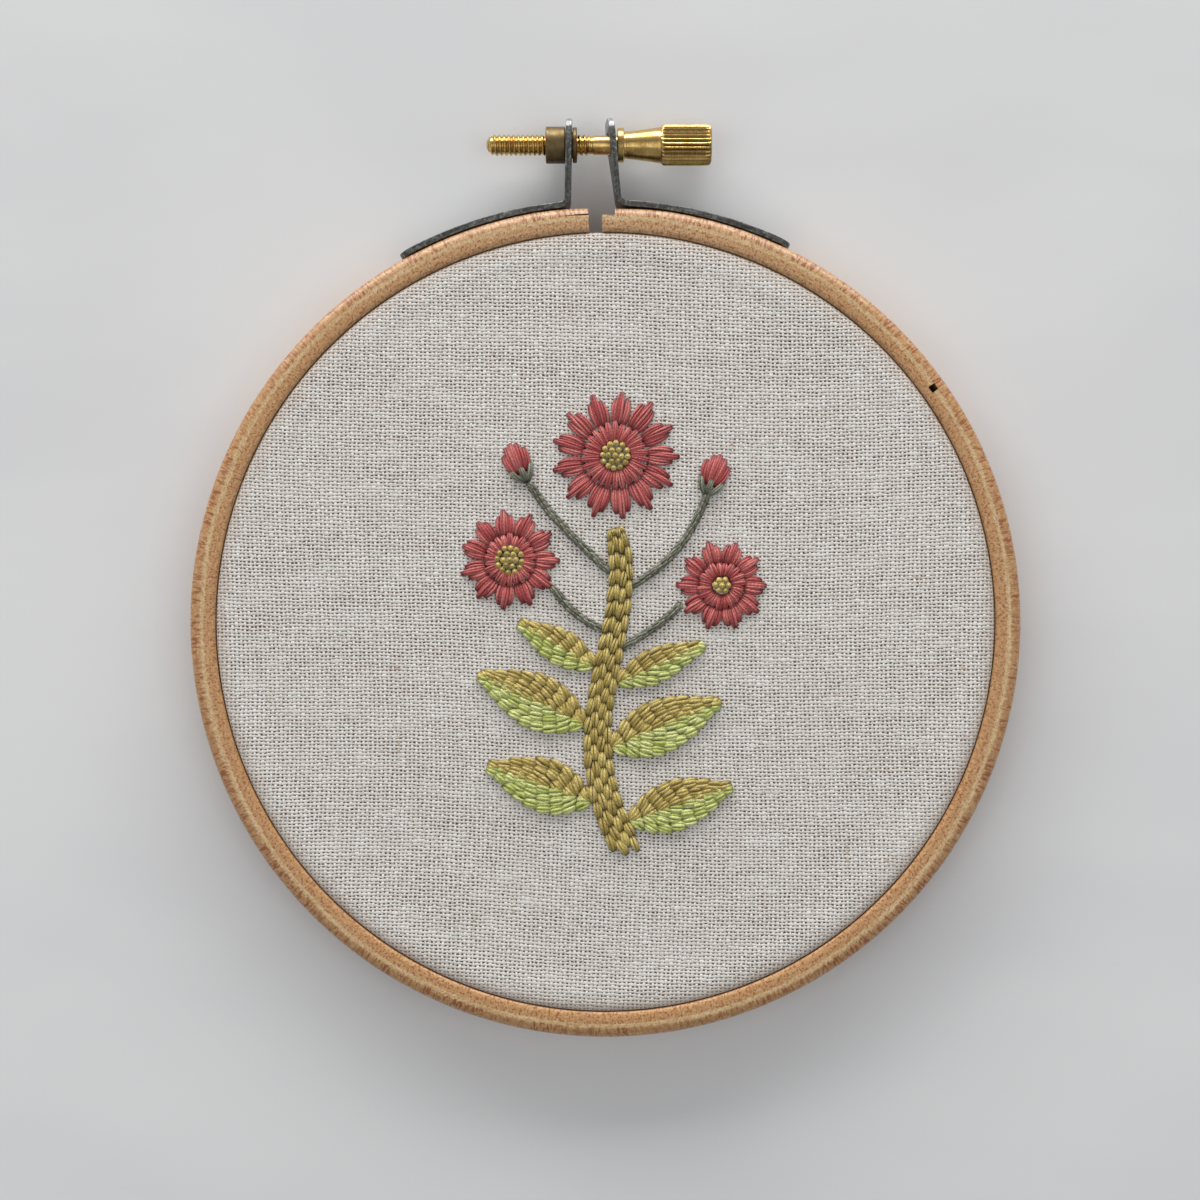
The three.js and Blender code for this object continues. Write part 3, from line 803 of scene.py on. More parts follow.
def cloth():
    points, flat, length = cloth_rings()
    m = CLOTH_SPOKES
    faces = [[0, 1 + j, 1 + (j + 1) % m] for j in range(m)]
    for first in range(1, len(points) - m, m):
        for j in range(m):
            a, b = first + j, first + (j + 1) % m
            faces.append([a, a + m, b + m, b])
    mesh = bpy.data.meshes.new("linen_cloth")
    mesh.from_pydata(points.tolist(), [], faces)
    u, v = weave_place(flat[:, 0], flat[:, 1])
    weave = mesh.attributes.new("weave", "FLOAT_VECTOR", "POINT")
    weave.data.foreach_set("vector", np.stack([u, v, np.zeros_like(u)], -1).reshape(-1))
    # The bake needs every point at its own place on a square, so the flat sheet is scaled to fit one.
    corner = np.empty(len(mesh.loops), int)
    mesh.loops.foreach_get("vertex_index", corner)
    on_square = flat[corner] / (2.04 * length) + 0.5
    mesh.uv_layers.new(name="OFBake").data.foreach_set("uv", on_square.reshape(-1))
    return link_piece("linen_cloth", mesh), length


sheet, cloth_reach = cloth()
print("flat radius of the linen", cloth_reach)
dress(sheet, linen(), "linen", "hoop", "cloth")
2 * cloth_reach
2 * cloth_reach
math.pi * cloth_reach**2


# %% [markdown]
# ## The metal fittings
# Two straps of steel strip hold the ends of the split ring. Each foot lies along the ring, and each lug is
# bent out to take the screw. A flat plate with a Simple Deform bend would need its parts lined up again by
# eye. Sweeping a flat section along the frame's own line keeps the foot against the wood and puts the lug
# where the screw is.

# %% Strap line
STRAP = {
    "thick": 1.0 * MM,
    "width": 8.0 * MM,
    "gap": 0.12 * MM,
    "tip": 83.8 * MM,
    "bend": 1.6 * MM,
    "corner": 2.4 * MM,
}
LEFT = {"side": -1, "foot": 119.3, "lug_x": -6.3, "tip_x": -6.05, "twist": 0, "hole": 2.5}
RIGHT = {"side": 1, "foot": 63.9, "lug_x": 2.25, "tip_x": 0.6, "twist": 4, "hole": 2.0}


def strap_line(row):
    """The strap's middle line in plan, from the foot's end to the lug's tip, in even fine steps."""
    middle = RING_R + STRAP["gap"] + STRAP["thick"] / 2
    on_ring = lambda a: np.array([middle * math.cos(a), middle * math.sin(a)])
    start = math.radians(row["foot"])
    end = math.acos((row["lug_x"] * MM + row["side"] * STRAP["bend"]) / middle)
    corner = on_ring(math.acos(row["lug_x"] * MM / middle))
    tip = np.array([row["tip_x"] * MM, STRAP["tip"]])
    lug = corner + (tip - corner) / np.linalg.norm(tip - corner) * STRAP["bend"]
    line = [on_ring(a) for a in np.linspace(start, end, 90)]
    for t in np.linspace(0, 1, 14)[1:]:
        line.append((1 - t) ** 2 * on_ring(end) + 2 * t * (1 - t) * corner + t**2 * lug)
    line += [lug + (tip - lug) * t for t in np.linspace(0, 1, 60)[1:]]
    return np.array(line)


def strap_stations(row):
    """(way from the foot's end, way to the tip, point, direction) along the strap, closer at its ends."""
    line = strap_line(row)
    lengths = lengths_along(line)
    total = lengths[-1]
    at = lambda s: np.stack([np.interp(s, lengths, line[:, k]) for k in range(2)], -1)
    corner = STRAP["corner"]
    near = corner * (1 - np.cos(np.linspace(0.08, math.pi / 2, 14)))
    s = np.concatenate([near, np.linspace(corner * 1.1, total - corner * 1.1, 130), total - near[::-1]])
    step = 0.05 * MM
    along = at(np.minimum(s + step, total)) - at(np.maximum(s - step, 0))
    along /= np.linalg.norm(along, axis=1)[:, None]
    return list(zip(s, total - s, at(s), along))


# %% [markdown]
# A sheared strip has flat sides, small eased edges and rounded ends, and the right lug is twisted a few
# degrees, as a soft strap is once the screw has pulled on it. Each point also gets a tone, which tells the
# steel where it is worn: fully at the lug's tip, in part along the edges, hardly on the flats. The screw's
# hole is cut last.

# %% Straps
EASE = 0.16 * MM
BORE_REACH = 4 * MM
WORN = {"tip": 1.0, "edge": 0.42, "flat": 0.1, "reach": 1.6 * MM}
TWIST = {"from the tip": 3 * MM, "over": 10 * MM}
STRAP_CORNERS = ((1, -1, -1), (1, 1, 0), (-1, 1, 1), (-1, -1, 2))
screw_low, screw_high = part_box("thumb_screw")
SCREW_Y = (screw_low.y + screw_high.y) / 2
SCREW_Z = (screw_low.z + screw_high.z) / 2


def strap_section(row, from_foot, to_tip, point, along):
    """The strap's section at one station, and how worn each of its points is."""
    corner, end = STRAP["corner"], min(from_foot, to_tip)
    short = max(corner - end, 0)
    half_t = STRAP["thick"] / 2
    half_w = STRAP["width"] / 2 - corner + math.sqrt(max(corner**2 - short**2, 0))
    t = min(1, max(0, (to_tip - TWIST["from the tip"]) / TWIST["over"]))
    twist = math.radians(row["twist"]) * (1 - t * t * (3 - 2 * t)) * row["side"]
    across = np.array([-along[1], along[0], 0])
    up = np.array([0, 0, math.cos(twist)]) - across * row["side"] * math.sin(twist)
    middle = np.array([point[0], point[1] + HOOP_Y, RING_FACE / 2])
    at_tip = end < WORN["reach"] and from_foot > to_tip
    ring, tone = [], []
    for u, v, quarter in STRAP_CORNERS:
        for k in range(4):
            a = math.radians(k * 30) + quarter * (math.pi / 2)
            du = u * (half_t - EASE) + EASE * math.cos(a)
            dv = v * max(half_w - EASE, 0) + EASE * math.sin(a)
            ring.append(middle + across * du + up * dv)
            tone.append(WORN["tip" if at_tip else "edge" if k in (1, 2) else "flat"])
    return ring, tone


def strap(name, row):
    """One strap, swept along its line and bored for the screw."""
    sections = [strap_section(row, *station) for station in strap_stations(row)]
    obj = solid(name, [ring for ring, tone in sections], tone=np.array([tone for ring, tone in sections]))
    circle = [(math.cos(a), math.sin(a)) for a in np.linspace(0, 2 * math.pi, 40, endpoint=False)]
    lug_x, hole = (row["lug_x"] + row["tip_x"]) / 2 * MM, row["hole"] * MM
    ends = (lug_x - BORE_REACH, lug_x + BORE_REACH)
    cut(obj, solid("bore", [[(x, SCREW_Y + hole * c, SCREW_Z + hole * q) for c, q in circle] for x in ends]))
    return smooth_under(obj, 42)


steel = dark_steel()
dress(strap("strap_left_steel", LEFT), steel, "strap_steel", "hoop", "strap_left")
dress(strap("strap_right_steel", RIGHT), steel, "strap_steel", "hoop", "strap_right")


# %% [markdown]
# The nut sits in the left lug: a round body, and a thin flange on the lug's other side. It is a turned part,
# so a row of (place along the screw, radius) is spun about the screw's line. Its bore is cut right through,
# because a solid plug would run into the screw that turns in it.

# %% Nut
NUT = {"body": (-9.95, -6.72, 3.05), "neck": 2.2, "flange": (-5.45, -4.75, 2.95), "bore": 1.8, "rim": 0.12}
MOUTH = {"deep": 0.1, "wider": 0.15}


def turned(name, profile, spokes, relief=None):
    """Turns (x, radius) rows in millimetres about the screw's line. relief(x, angle) adds to the radius."""
    angles = np.linspace(0, 2 * math.pi, spokes, endpoint=False)
    rows = []
    for x, r in profile:
        radius = np.full(spokes, float(r)) + (relief(x, angles) if relief else 0)
        y, z = SCREW_Y / MM + radius * np.cos(angles), SCREW_Z / MM + radius * np.sin(angles)
        rows.append(np.stack([np.full(spokes, x), y, z], -1) * MM)
    return solid(name, rows)


def disc(start, end, radius):
    """A disc's rows, with its two rims eased."""
    rim = NUT["rim"]
    return [(start, radius - rim), (start + rim, radius), (end - rim, radius), (end, radius - rim)]


def nut():
    body, flange, neck, bore = NUT["body"], NUT["flange"], NUT["neck"], NUT["bore"]
    mouth = bore + MOUTH["wider"]
    profile = [(body[0] + MOUTH["deep"], bore), (body[0], mouth), *disc(*body), (body[1], neck)]
    profile += [(flange[0], neck), *disc(*flange), (flange[1], mouth), (flange[1] - MOUTH["deep"], bore)]
    obj = turned("screw_nut", profile, 72)
    cut(obj, turned("bore", [(-11.0, bore), (-4.0, bore)], 72))
    return smooth_under(obj, 35)


dress(nut(), bronze(), "nut_brass", "hoop", "nut")


# %% [markdown]
# The thumb screw is turned from one bar: a threaded shank, a plain shank, a collar, a cone neck and a knurled
# head. Its rows are close enough for a true helical thread, which fades out before the plain shank and at the
# point. A Screw modifier makes a thread too, but not its fading ends. The head's straight knurls are grooves
# between flat ridges, added to the radius in the same way.

# %% Thumb screw
THREAD = {"tip": -19.9, "end": -2.2, "pitch": 0.79, "core": 1.42, "crest": 1.75}
SHANK = 1.6
NECK = {"start": 3.25, "radius": 2.2, "grows": 0.75, "over": 5.9}
HEAD = {"start": 9.3, "end": 17.7, "radius": 3.35, "chamfer": 0.5}
KNURLS = 28
KNURL_DEPTH = 0.3


def thread_relief(x, angles):
    """The thread's height over its core, from a V that winds along the shank."""
    grow = np.clip((x - THREAD["tip"]) / 1.4, 0, 1) * np.clip((THREAD["end"] - x) / 0.9, 0, 1)
    wound = ((x / THREAD["pitch"] - angles / (2 * math.pi)) % 1.0) * 2
    v = 1 - np.abs(wound - 1)
    return (THREAD["crest"] - THREAD["core"]) * np.clip(v * 1.25 - 0.1, 0, 0.95) * grow


def knurl_relief(x, angles):
    """Narrow grooves between flat ridges, which fade out at both ends of the head."""
    inside = np.clip((x - HEAD["start"] - 0.1) / 0.3, 0, 1) * np.clip((HEAD["end"] - 0.12 - x) / 0.3, 0, 1)
    groove = np.clip(1.35 * np.abs(np.cos(angles * KNURLS / 2)) - 0.35, 0, 1) ** 1.5
    return -KNURL_DEPTH * inside * groove


def screw_relief(x, angles):
    """The thread on the shank, the knurls on the head, and nothing between them."""
    if x < THREAD["end"]:
        return thread_relief(x, angles)
    return knurl_relief(x, angles) if x > HEAD["start"] else 0 * angles


def screw_profile():
    """The screw's (x, radius) rows in millimetres, from its point to the face of its head."""
    tip, end, core = THREAD["tip"], THREAD["end"], THREAD["core"]
    point = [(tip, 0.05), (tip + 0.02, 0.4), (tip + 0.12, 0.75), (tip + 0.35, 1.05)]
    along = np.arange(tip + 0.4, end, THREAD["pitch"] / 10)
    thread = [(x, min(core, 1.05 + (x - tip - 0.35) * 0.62)) for x in along]
    shank = [(end, core), (end + 0.3, SHANK), (1.95, SHANK)]
    collar = [(2.05, 2.0), (2.05, 2.72), (2.15, 2.85), (2.98, 2.85), (3.1, 2.75), (3.1, 2.28)]
    wider = lambda x: NECK["radius"] + NECK["grows"] * ((x - NECK["start"]) / NECK["over"]) ** 1.1
    neck = [(NECK["start"], NECK["radius"])] + [(x, wider(x)) for x in np.linspace(3.6, 9.1, 12)]
    start, face, r, chamfer = HEAD["start"], HEAD["end"], HEAD["radius"], HEAD["chamfer"]
    head = [(start, 3.05), (start + 0.2, r - 0.12), (start + 0.5, r)]
    head += [(x, r) for x in np.linspace(start + 0.8, face - chamfer, 12)]
    head += [(face - 0.15, r - 0.22), (face, r - chamfer), (face, 0.6), (face - 0.05, 0.05)]
    return point + thread + shank + collar + neck + head


screw = smooth_under(turned("brass_thumb_screw", screw_profile(), KNURLS * 6, screw_relief), 34)
bright = brass(SCREW_Y, SCREW_Z, HEAD["start"] * MM, HEAD["radius"] * MM)
dress(screw, bright, "screw_brass", "screw", "thumb_screw")


# %% [markdown]
# ## Stitches
# Stranded cotton is sewn with all its strands together, so one stitch is a flat bundle: narrow where it comes
# up through the cloth, full in the middle, and with its strands turning slowly about each other. A bump map
# could suggest that, but the light then shows a flat cloth. Hair curves would do it, but they have to be made
# into a mesh before they can be exported. So each strand here is a thin tube on its own path.

# %% Stitch maker
STRANDS = 5
STRAND_SIDES = 6
STRAND_STEPS = 11
STRAND_SHARE = 0.175
STITCH_END = 0.24
USUAL_STITCH = 2.6
DIVE = 0.5
UP = np.array([0.0, 0.0, 1.0])


def strand_tube(centre, radius):
    """A tube along points in millimetres, as rows in metres."""
    along = np.gradient(centre, axis=0)
    along /= np.linalg.norm(along, axis=1)[:, None]
    level = np.cross(UP, along)
    level /= np.maximum(np.linalg.norm(level, axis=1), 1e-6)[:, None]
    up = np.cross(along, level)
    a = np.linspace(0, 2 * math.pi, STRAND_SIDES, endpoint=False)
    ring = np.cos(a)[None, :, None] * level[:, None] + np.sin(a)[None, :, None] * up[:, None]
    rows = centre[:, None] + np.broadcast_to(radius, len(centre))[:, None, None] * ring
    return rows * MM + np.array([0, HOOP_Y, 0])


def stitch(shells, start, end, width, rng, height=0.85, bow=0.0, lift=0.0, taper=0.7, turns=None):
    """One stitch between two points of the cloth, in millimetres from its middle."""
    start, end = np.array(start, float), np.array(end, float)
    along = end - start
    length = np.linalg.norm(along)
    along /= length
    side = np.array([-along[1], along[0]])
    t = np.linspace(0, 1, STRAND_STEPS)
    narrow = STITCH_END + (1 - STITCH_END) * np.sin(np.pi * t) ** taper
    rise = np.sin(np.pi * t) ** 0.55
    bowed = side[None] * (bow * np.sin(np.pi * t))[:, None]
    middle = start[None] + along[None] * (t * length)[:, None] + bowed
    phase = rng.uniform(0, 2 * math.pi)
    twist = (turns or rng.uniform(0.35, 0.8)) * length / USUAL_STITCH
    strand_r = width * STRAND_SHARE
    for k in range(STRANDS):
        angle = phase + 2 * math.pi * k / STRANDS + twist * t + rng.uniform(-0.2, 0.2)
        reach = (width / 2 - strand_r) * narrow * rng.uniform(0.95, 1.1)
        out = reach * np.cos(angle)
        high = (height / 2 - strand_r) * (1 + np.sin(angle)) * narrow + strand_r
        z = CLOTH_TOP / MM + (lift + high) * rise - DIVE * (1 - rise)
        centre = np.stack([middle[:, 0] + side[0] * out, middle[:, 1] + side[1] * out, z], -1)
        shells.sweep(strand_tube(centre, strand_r * (0.7 + 0.3 * narrow)), rng.random())


# %% [markdown]
# An embroiderer works along lines: the edge of a leaf, the middle of a stem. A line is kept here as points
# with their lengths, so a place on it is asked for in millimetres. A row of stitches walks along it, each
# stitch leaning a little and starting before the last one ends. Each one's length is drawn at random from a
# set seed, so the work looks sewn by hand and still comes out the same every time.


# %% Lines and rows
class Line:
    """A line through points in millimetres, measured by its length."""

    def __init__(self, points):
        self.points = np.array(points, float)
        self.lengths = lengths_along(self.points)
        self.length = self.lengths[-1]

    def at(self, s):
        """The point, the direction and the left-hand side at that length, which may lie past either end."""
        find = lambda v: np.array([np.interp(v, self.lengths, self.points[:, k]) for k in range(2)])
        inside = min(max(s, 0.0), self.length)
        ahead = find(min(inside + 0.1, self.length)) - find(max(inside - 0.1, 0))
        ahead /= np.linalg.norm(ahead)
        return find(inside) + ahead * (s - inside), ahead, np.array([-ahead[1], ahead[0]])


CURVE_POINTS = 200


def curve(controls):
    """A cubic curve between its first and last control points."""
    p = np.array(controls, float)
    t = np.linspace(0, 1, CURVE_POINTS)[:, None]
    return Line((1 - t) ** 3 * p[0] + 3 * t * (1 - t) ** 2 * p[1] + 3 * t**2 * (1 - t) * p[2] + t**3 * p[3])


def sew_row(shells, line, widths, rng, offset=None, length=2.9, advance=2.05, begin=0.0, slant=0.2, **how):
    """A row of slanting stitches along a line. widths(s) is a stitch's width, offset(s) the row's place."""
    s = begin
    while s < line.length - 0.8:
        e = min(s + length * rng.uniform(0.95, 1.05), line.length + 0.25)
        ends = []
        for where, lean in ((s, -slant), (e, slant)):
            point, _, side = line.at(where)
            off = offset(where) if offset else 0.0
            ends.append(point + side * (off + lean + rng.uniform(-0.05, 0.05)))
        stitch(shells, *ends, widths((s + e) / 2), rng, **how)
        s += advance * rng.uniform(0.93, 1.07)


# %% [markdown]
# ## The sprig
# Its plan is the frame's: a thick curved stem, leaves and stalks that leave it on both sides, daisies on the
# stalks and at the top, and two buds. All of it is in millimetres from the middle of the cloth. A stalk
# starts beside the stem and runs on until it is under its flower, so no bare cloth shows between them.

# %% Sprig plan
STEM = {"width": 5.0, "tip_width": 3.6}
STEM_CURVE = curve([[4.0, -38.5], [-9.0, -16.0], [6.5, -2.0], [1.6, 15.4]])
STALKS = [
    {"name": "stalk_left", "at": 0.66, "side": -1,
     "through": [[-3.6, 0.2], [-6.2, 1.8]], "to": [-8.8, 5.8]},
    {"name": "stalk_right", "at": 0.62, "side": 1,
     "through": [[5.0, -2.6], [8.6, -1.4]], "to": [12.5, 2.9]},
    {"name": "stalk_bud_right", "at": 0.82, "side": 1,
     "through": [[9.2, 8.4], [14.0, 13.0]], "to": [16.7, 20.9]},
    {"name": "stalk_bud_left", "at": 0.86, "side": -1,
     "through": [[-3.4, 12.2], [-8.8, 16.6]], "to": [-12.6, 22.9]},
]  # fmt: skip
LEAVES = [
    {"name": "leaf_low_right", "at": 0.07, "side": 1, "tip": [20.8, -27.2], "width": 8.4},
    {"name": "leaf_low_left", "at": 0.15, "side": -1, "tip": [-19.4, -23.8], "width": 9.0},
    {"name": "leaf_mid_right", "at": 0.29, "side": 1, "tip": [18.8, -13.2], "width": 9.0},
    {"name": "leaf_mid_left", "at": 0.36, "side": -1, "tip": [-20.8, -8.8], "width": 9.2},
    {"name": "leaf_top_right", "at": 0.5, "side": 1, "tip": [16.2, -3.8], "width": 5.8},
    {"name": "leaf_top_left", "at": 0.54, "side": -1, "tip": [-14.2, -0.2], "width": 6.0},
]
DAISIES = [
    {"name": "daisy_top", "at": [1.6, 27.4], "radius": 11.2, "petals": 13, "eye": 2.9},
    {"name": "daisy_left", "at": [-15.8, 10.2], "radius": 8.7, "petals": 11, "eye": 2.3},
    {"name": "daisy_right", "at": [19.2, 6.0], "radius": 7.9, "petals": 10, "eye": 2.1},
]
BUDS = [
    {"name": "bud_right", "at": [18.0, 24.6], "angle": 70, "length": 7.2, "width": 5.4},
    {"name": "bud_left", "at": [-14.6, 26.6], "angle": 115, "length": 7.0, "width": 5.2},
]


def stem_width(share):
    """The stem's width at a share of the way up it."""
    return STEM["width"] + (STEM["tip_width"] - STEM["width"]) * share


def beside_stem(row, off):
    """A point beside the stem, clear of its edge."""
    point, _, left = STEM_CURVE.at(STEM_CURVE.lengths[int(round(row["at"] * (CURVE_POINTS - 1)))])
    return point - row["side"] * left * (stem_width(row["at"]) / 2 + off)


def polar(angle, length):
    """A step of this length at this angle, counted from +X towards the top of the hoop."""
    return np.array([math.cos(angle), math.sin(angle)]) * length


print("the stem is", STEM_CURVE.length, "mm long")


# %% [markdown]
# Four colours of floss are used, each as a deep, a middle and a light tone of one dye. Cotton takes dye
# unevenly and its strands catch the light on their tops, so a single colour would look like plastic. The deep
# tone is painted shade low on each stitch and between its plies, and each strand draws its own tone between
# the other two at random, partly as dye and partly as painted highlight.

# %% Floss colours
OCHRE = floss("ochre floss", (0.095, 0.056, 0.010), (0.45, 0.335, 0.072), (0.74, 0.59, 0.185))
LIME = floss("lime floss", (0.17, 0.20, 0.04), (0.50, 0.56, 0.13), (0.79, 0.82, 0.34))
RED = floss("dusty red floss", (0.13, 0.010, 0.012), (0.48, 0.068, 0.070), (0.74, 0.21, 0.185))
GREEN = floss("grey green floss", (0.028, 0.030, 0.018), (0.14, 0.145, 0.095), (0.31, 0.315, 0.235))


# %% [markdown]
# The stem is four rows of plump stitches side by side, each row a little narrower towards the top. One wide
# row of satin stitch would be quicker, but it is smooth, and thick stems are sewn in rows. Each row starts at
# its own place, so that the stitches lock together like bricks.

# %% Stem
ROW_STARTS = (-0.4, 1.0, 0.0, 1.5)


def stem(rng):
    shells = Shells()
    columns, reach = len(ROW_STARTS), STEM_CURVE.length

    def wide(s):
        blunt = min(1.0, 0.66 + 0.17 * max(0.0, min(s, reach - s)))
        return stem_width(min(max(s / reach, 0), 1)) * blunt

    for column, begin in enumerate(ROW_STARTS):
        place = (column - (columns - 1) / 2) / columns
        sew_row(
            shells, STEM_CURVE, lambda s: wide(s) / columns * 1.25, rng, offset=lambda s: place * wide(s),
            length=3.5, advance=2.75, begin=begin, slant=0.2 * (-1) ** column, height=1.0,
        )  # fmt: skip
    return shells.piece("stitched_stem")


dress(stem(random.Random(11)), OCHRE, "ochre_floss", "hoop", "stem")


# %% [markdown]
# The stalks are stem stitch: each stitch starts beside the middle of the one before and crosses over the
# line, so that the row reads as a twisted rope. A plain tube with a spiral bump would be simpler, but its
# ends and its height would be too even. Both ends run in under their neighbours.

# %% Stalks
STALK_WIDTH = 1.2

for k, row in enumerate(STALKS):
    shells = Shells()
    line = curve([beside_stem(row, 0.0), *row["through"], row["to"]])
    sew_row(
        shells, line, lambda s: STALK_WIDTH, random.Random(20 + k),
        length=2.8, advance=1.15, begin=-0.7, slant=0.36, height=0.85, turns=2.4,
    )  # fmt: skip
    dress(shells.piece("stitched_" + row["name"]), GREEN, "green_floss", "hoop", row["name"])


# %% [markdown]
# A leaf is filled with rows of short slanting stitches. The outside row follows the leaf's edge, the next
# lies inside it, and so on to the middle. Stitches set out on a grid and trimmed to the outline would have
# cut ends at the edge, where the real thing has smooth rows. The half that faces up is ochre and the half
# that faces down is lime, so each half is a piece of its own.

# %% Leaves
LEAF_ROW = 1.42
LEAF_MIDDLE = 0.12
SHORTEST_ROW = 2.2


def leaf_half(row, upper, rng):
    base, tip = beside_stem(row, 0.2), np.array(row["tip"], float)
    axis = tip - base
    length = np.linalg.norm(axis)
    axis /= length
    hand = row["side"] * (1 if upper else -1)
    side = np.array([-axis[1], axis[0]]) * hand
    rows = max(2, int(round(row["width"] / 2 / LEAF_ROW)))
    pitch = row["width"] / 2 / rows
    half = lambda t: row["width"] / 2 * math.sin(math.pi * min(max(t, 0), 1) ** 0.8) ** 0.85
    shells = Shells()
    for j in range(rows):
        spots = []
        for t in np.linspace(0.01, 0.995, 100):
            off = half(t) - (j + 0.5) * pitch
            if j == 0 or off > -0.6 * pitch:
                spots.append(base + axis * (t * length) + side * max(off, LEAF_MIDDLE))
        line = Line(spots)
        if line.length > SHORTEST_ROW:
            sew_row(
                shells, line, lambda s: pitch * 1.2, rng,
                length=3.0, advance=2.2, begin=(-0.3, -1.2)[j % 2], slant=0.42 * hand, height=0.95,
            )  # fmt: skip
    return shells


for k, row in enumerate(LEAVES):
    for upper, colour, slot in ((True, OCHRE, "ochre_floss"), (False, LIME, "lime_floss")):
        half = leaf_half(row, upper, random.Random(40 + 2 * k + upper))
        name = "stitched_" + row["name"] + ("_upper" if upper else "_lower")
        dress(half.piece(name), colour, slot, "hoop", row["name"])


# %% [markdown]
# The eye of a daisy is a heap of French knots. A small sphere for each would look like a bead, because a knot
# shows the two turns of thread that it is made of. So each one is two short coils, the second smaller and on
# top, and every knot starts at its own angle. They are packed in rounds, and the middle ones stand highest.

# %% French knots
KNOT_SPACING = 1.06
KNOT_COILS = (
    {"steps": 17, "reach": 0.36, "low": 0.0, "climb": 0.12, "thread": 0.21},
    {"steps": 12, "reach": 0.15, "low": 0.24, "climb": 0.10, "thread": 0.22},
)


def knot(shells, at, rng, base):
    """A French knot: floss wound round the needle and pulled down on itself into a tight bead."""
    turn = rng.uniform(*ANY_ANGLE)
    for coil in KNOT_COILS:
        t = np.linspace(0, 1, coil["steps"])
        angle = turn + t * 2 * math.pi * 1.05
        r = coil["reach"] * (1 - 0.25 * t)
        z = CLOTH_TOP / MM + base + coil["low"] + coil["climb"] * t
        centre = np.stack([at[0] + r * np.cos(angle), at[1] + r * np.sin(angle), z], -1)
        shells.sweep(strand_tube(centre, coil["thread"]), rng.random())
        turn += 2.4


# %% [markdown]
# Each petal is three straight stitches from the daisy's middle, the centre one longest. A second, shorter
# round of stitches lies over their inner ends, which hides the crowded roots and lifts the middle of the
# flower. Copies of one petal round the middle would be quicker, but they would show as copies: each stitch
# here is drawn afresh.

# %% Daisies
PETAL = {"fan": 0.25, "closes": 0.72, "root": 0.42, "width": 1.22, "bow": 0.34, "lift": 0.1}
OVERLAY = {"root": 0.62, "reach": (0.5, 0.58), "width": 1.05, "lift": 0.28}


def daisy(row, rng):
    shells = Shells()
    at, radius = np.array(row["at"]), row["radius"]
    share = 2 * math.pi / row["petals"]
    fan = share * PETAL["fan"]
    for p in range(row["petals"]):
        angle = 2 * math.pi * p / row["petals"]
        for step, reach in ((-1, 0.90), (1, 0.90), (0, 1.0)):
            out = radius * reach * rng.uniform(0.97, 1.0)
            tip = at + polar(angle + step * fan * PETAL["closes"] + rng.uniform(-0.015, 0.015), out)
            root = at + polar(angle + step * fan, radius * PETAL["root"])
            lift = PETAL["lift"] * (step == 0)
            stitch(shells, root, tip, PETAL["width"], rng, bow=PETAL["bow"] * step, taper=0.5, lift=lift)
        for quarter in (-0.25, 0.25):
            over = angle + quarter * share
            inner = at + polar(over, row["eye"] * OVERLAY["root"])
            outer = at + polar(over, radius * rng.uniform(*OVERLAY["reach"]))
            stitch(shells, inner, outer, OVERLAY["width"], rng, height=0.8, lift=OVERLAY["lift"], taper=0.5)
    return shells.piece("stitched_" + row["name"])


def daisy_eye(row, rng):
    shells = Shells()
    at = np.array(row["at"])
    knot(shells, at, rng, base=0.95)
    for ring in range(1, int(row["eye"] / KNOT_SPACING) + 1):
        count = int(2 * math.pi * ring)
        for k in range(count):
            spot = at + polar(2 * math.pi * k / count + ring, ring * KNOT_SPACING * 0.96)
            knot(shells, spot + polar(rng.uniform(*ANY_ANGLE), 0.07), rng, base=0.92 - 0.14 * ring)
    return shells.piece("knots_" + row["name"])


for k, row in enumerate(DAISIES):
    dress(daisy(row, random.Random(60 + k)), RED, "red_floss", "hoop", row["name"])
    dress(daisy_eye(row, random.Random(70 + k)), OCHRE, "ochre_floss", "hoop", row["name"] + "_eye")


# %% [markdown]
# A bud is five red stitches that open a little from one root, the middle one longest and on top, held in a
# cup of three green ones. The cup is a piece of its own, because it is sewn in another floss, and its neck
# reaches down to the end of the stalk. Both are made straight from the stitch maker: a bud is too small to
# need rows.


# %% Buds
def bud_plan(row):
    """The bud's middle, the way it grows, and the way across it."""
    turn = math.radians(row["angle"])
    return np.array(row["at"]), turn, turn + math.pi / 2


def bud(row, rng):
    shells = Shells()
    at, turn, across = bud_plan(row)
    root = at - polar(turn, row["length"] * 0.36)
    for step in (-2, 2, -1, 1, 0):
        spread = step * row["width"] / 5.8
        tip = at + polar(turn, row["length"] * (0.49 - 0.05 * step**2)) + polar(across, spread)
        lift = 0.12 * (2 - abs(step))
        foot = root + polar(across, spread * 0.4)
        stitch(shells, foot, tip, PETAL["width"], rng, bow=step * 0.2, lift=lift, taper=0.5)
    return shells.piece("stitched_" + row["name"])


def bud_cup(row, rng):
    """The green cup that holds a bud, with a neck that reaches its stalk."""
    shells = Shells()
    at, turn, across = bud_plan(row)
    root = at - polar(turn, row["length"] * 0.58)
    for step in (-1, 1, 0):
        tip = at - polar(turn, row["length"] * 0.08) + polar(across, step * row["width"] * 0.38)
        stitch(shells, root, tip, 1.0, rng, bow=step * 0.4, lift=0.3)
    return shells.piece("stitched_" + row["name"] + "_cup")


for k, row in enumerate(BUDS):
    dress(bud(row, random.Random(80 + k)), RED, "red_floss", "hoop", row["name"])
    dress(bud_cup(row, random.Random(90 + k)), GREEN, "green_floss", "hoop")


# %% [markdown]
# ## Floor, light and camera
# The hoop lies on a pale, nearly smooth surface. Plain white would do, but a trace of fibre and a slow change
# of tone let the eye read it as paper.

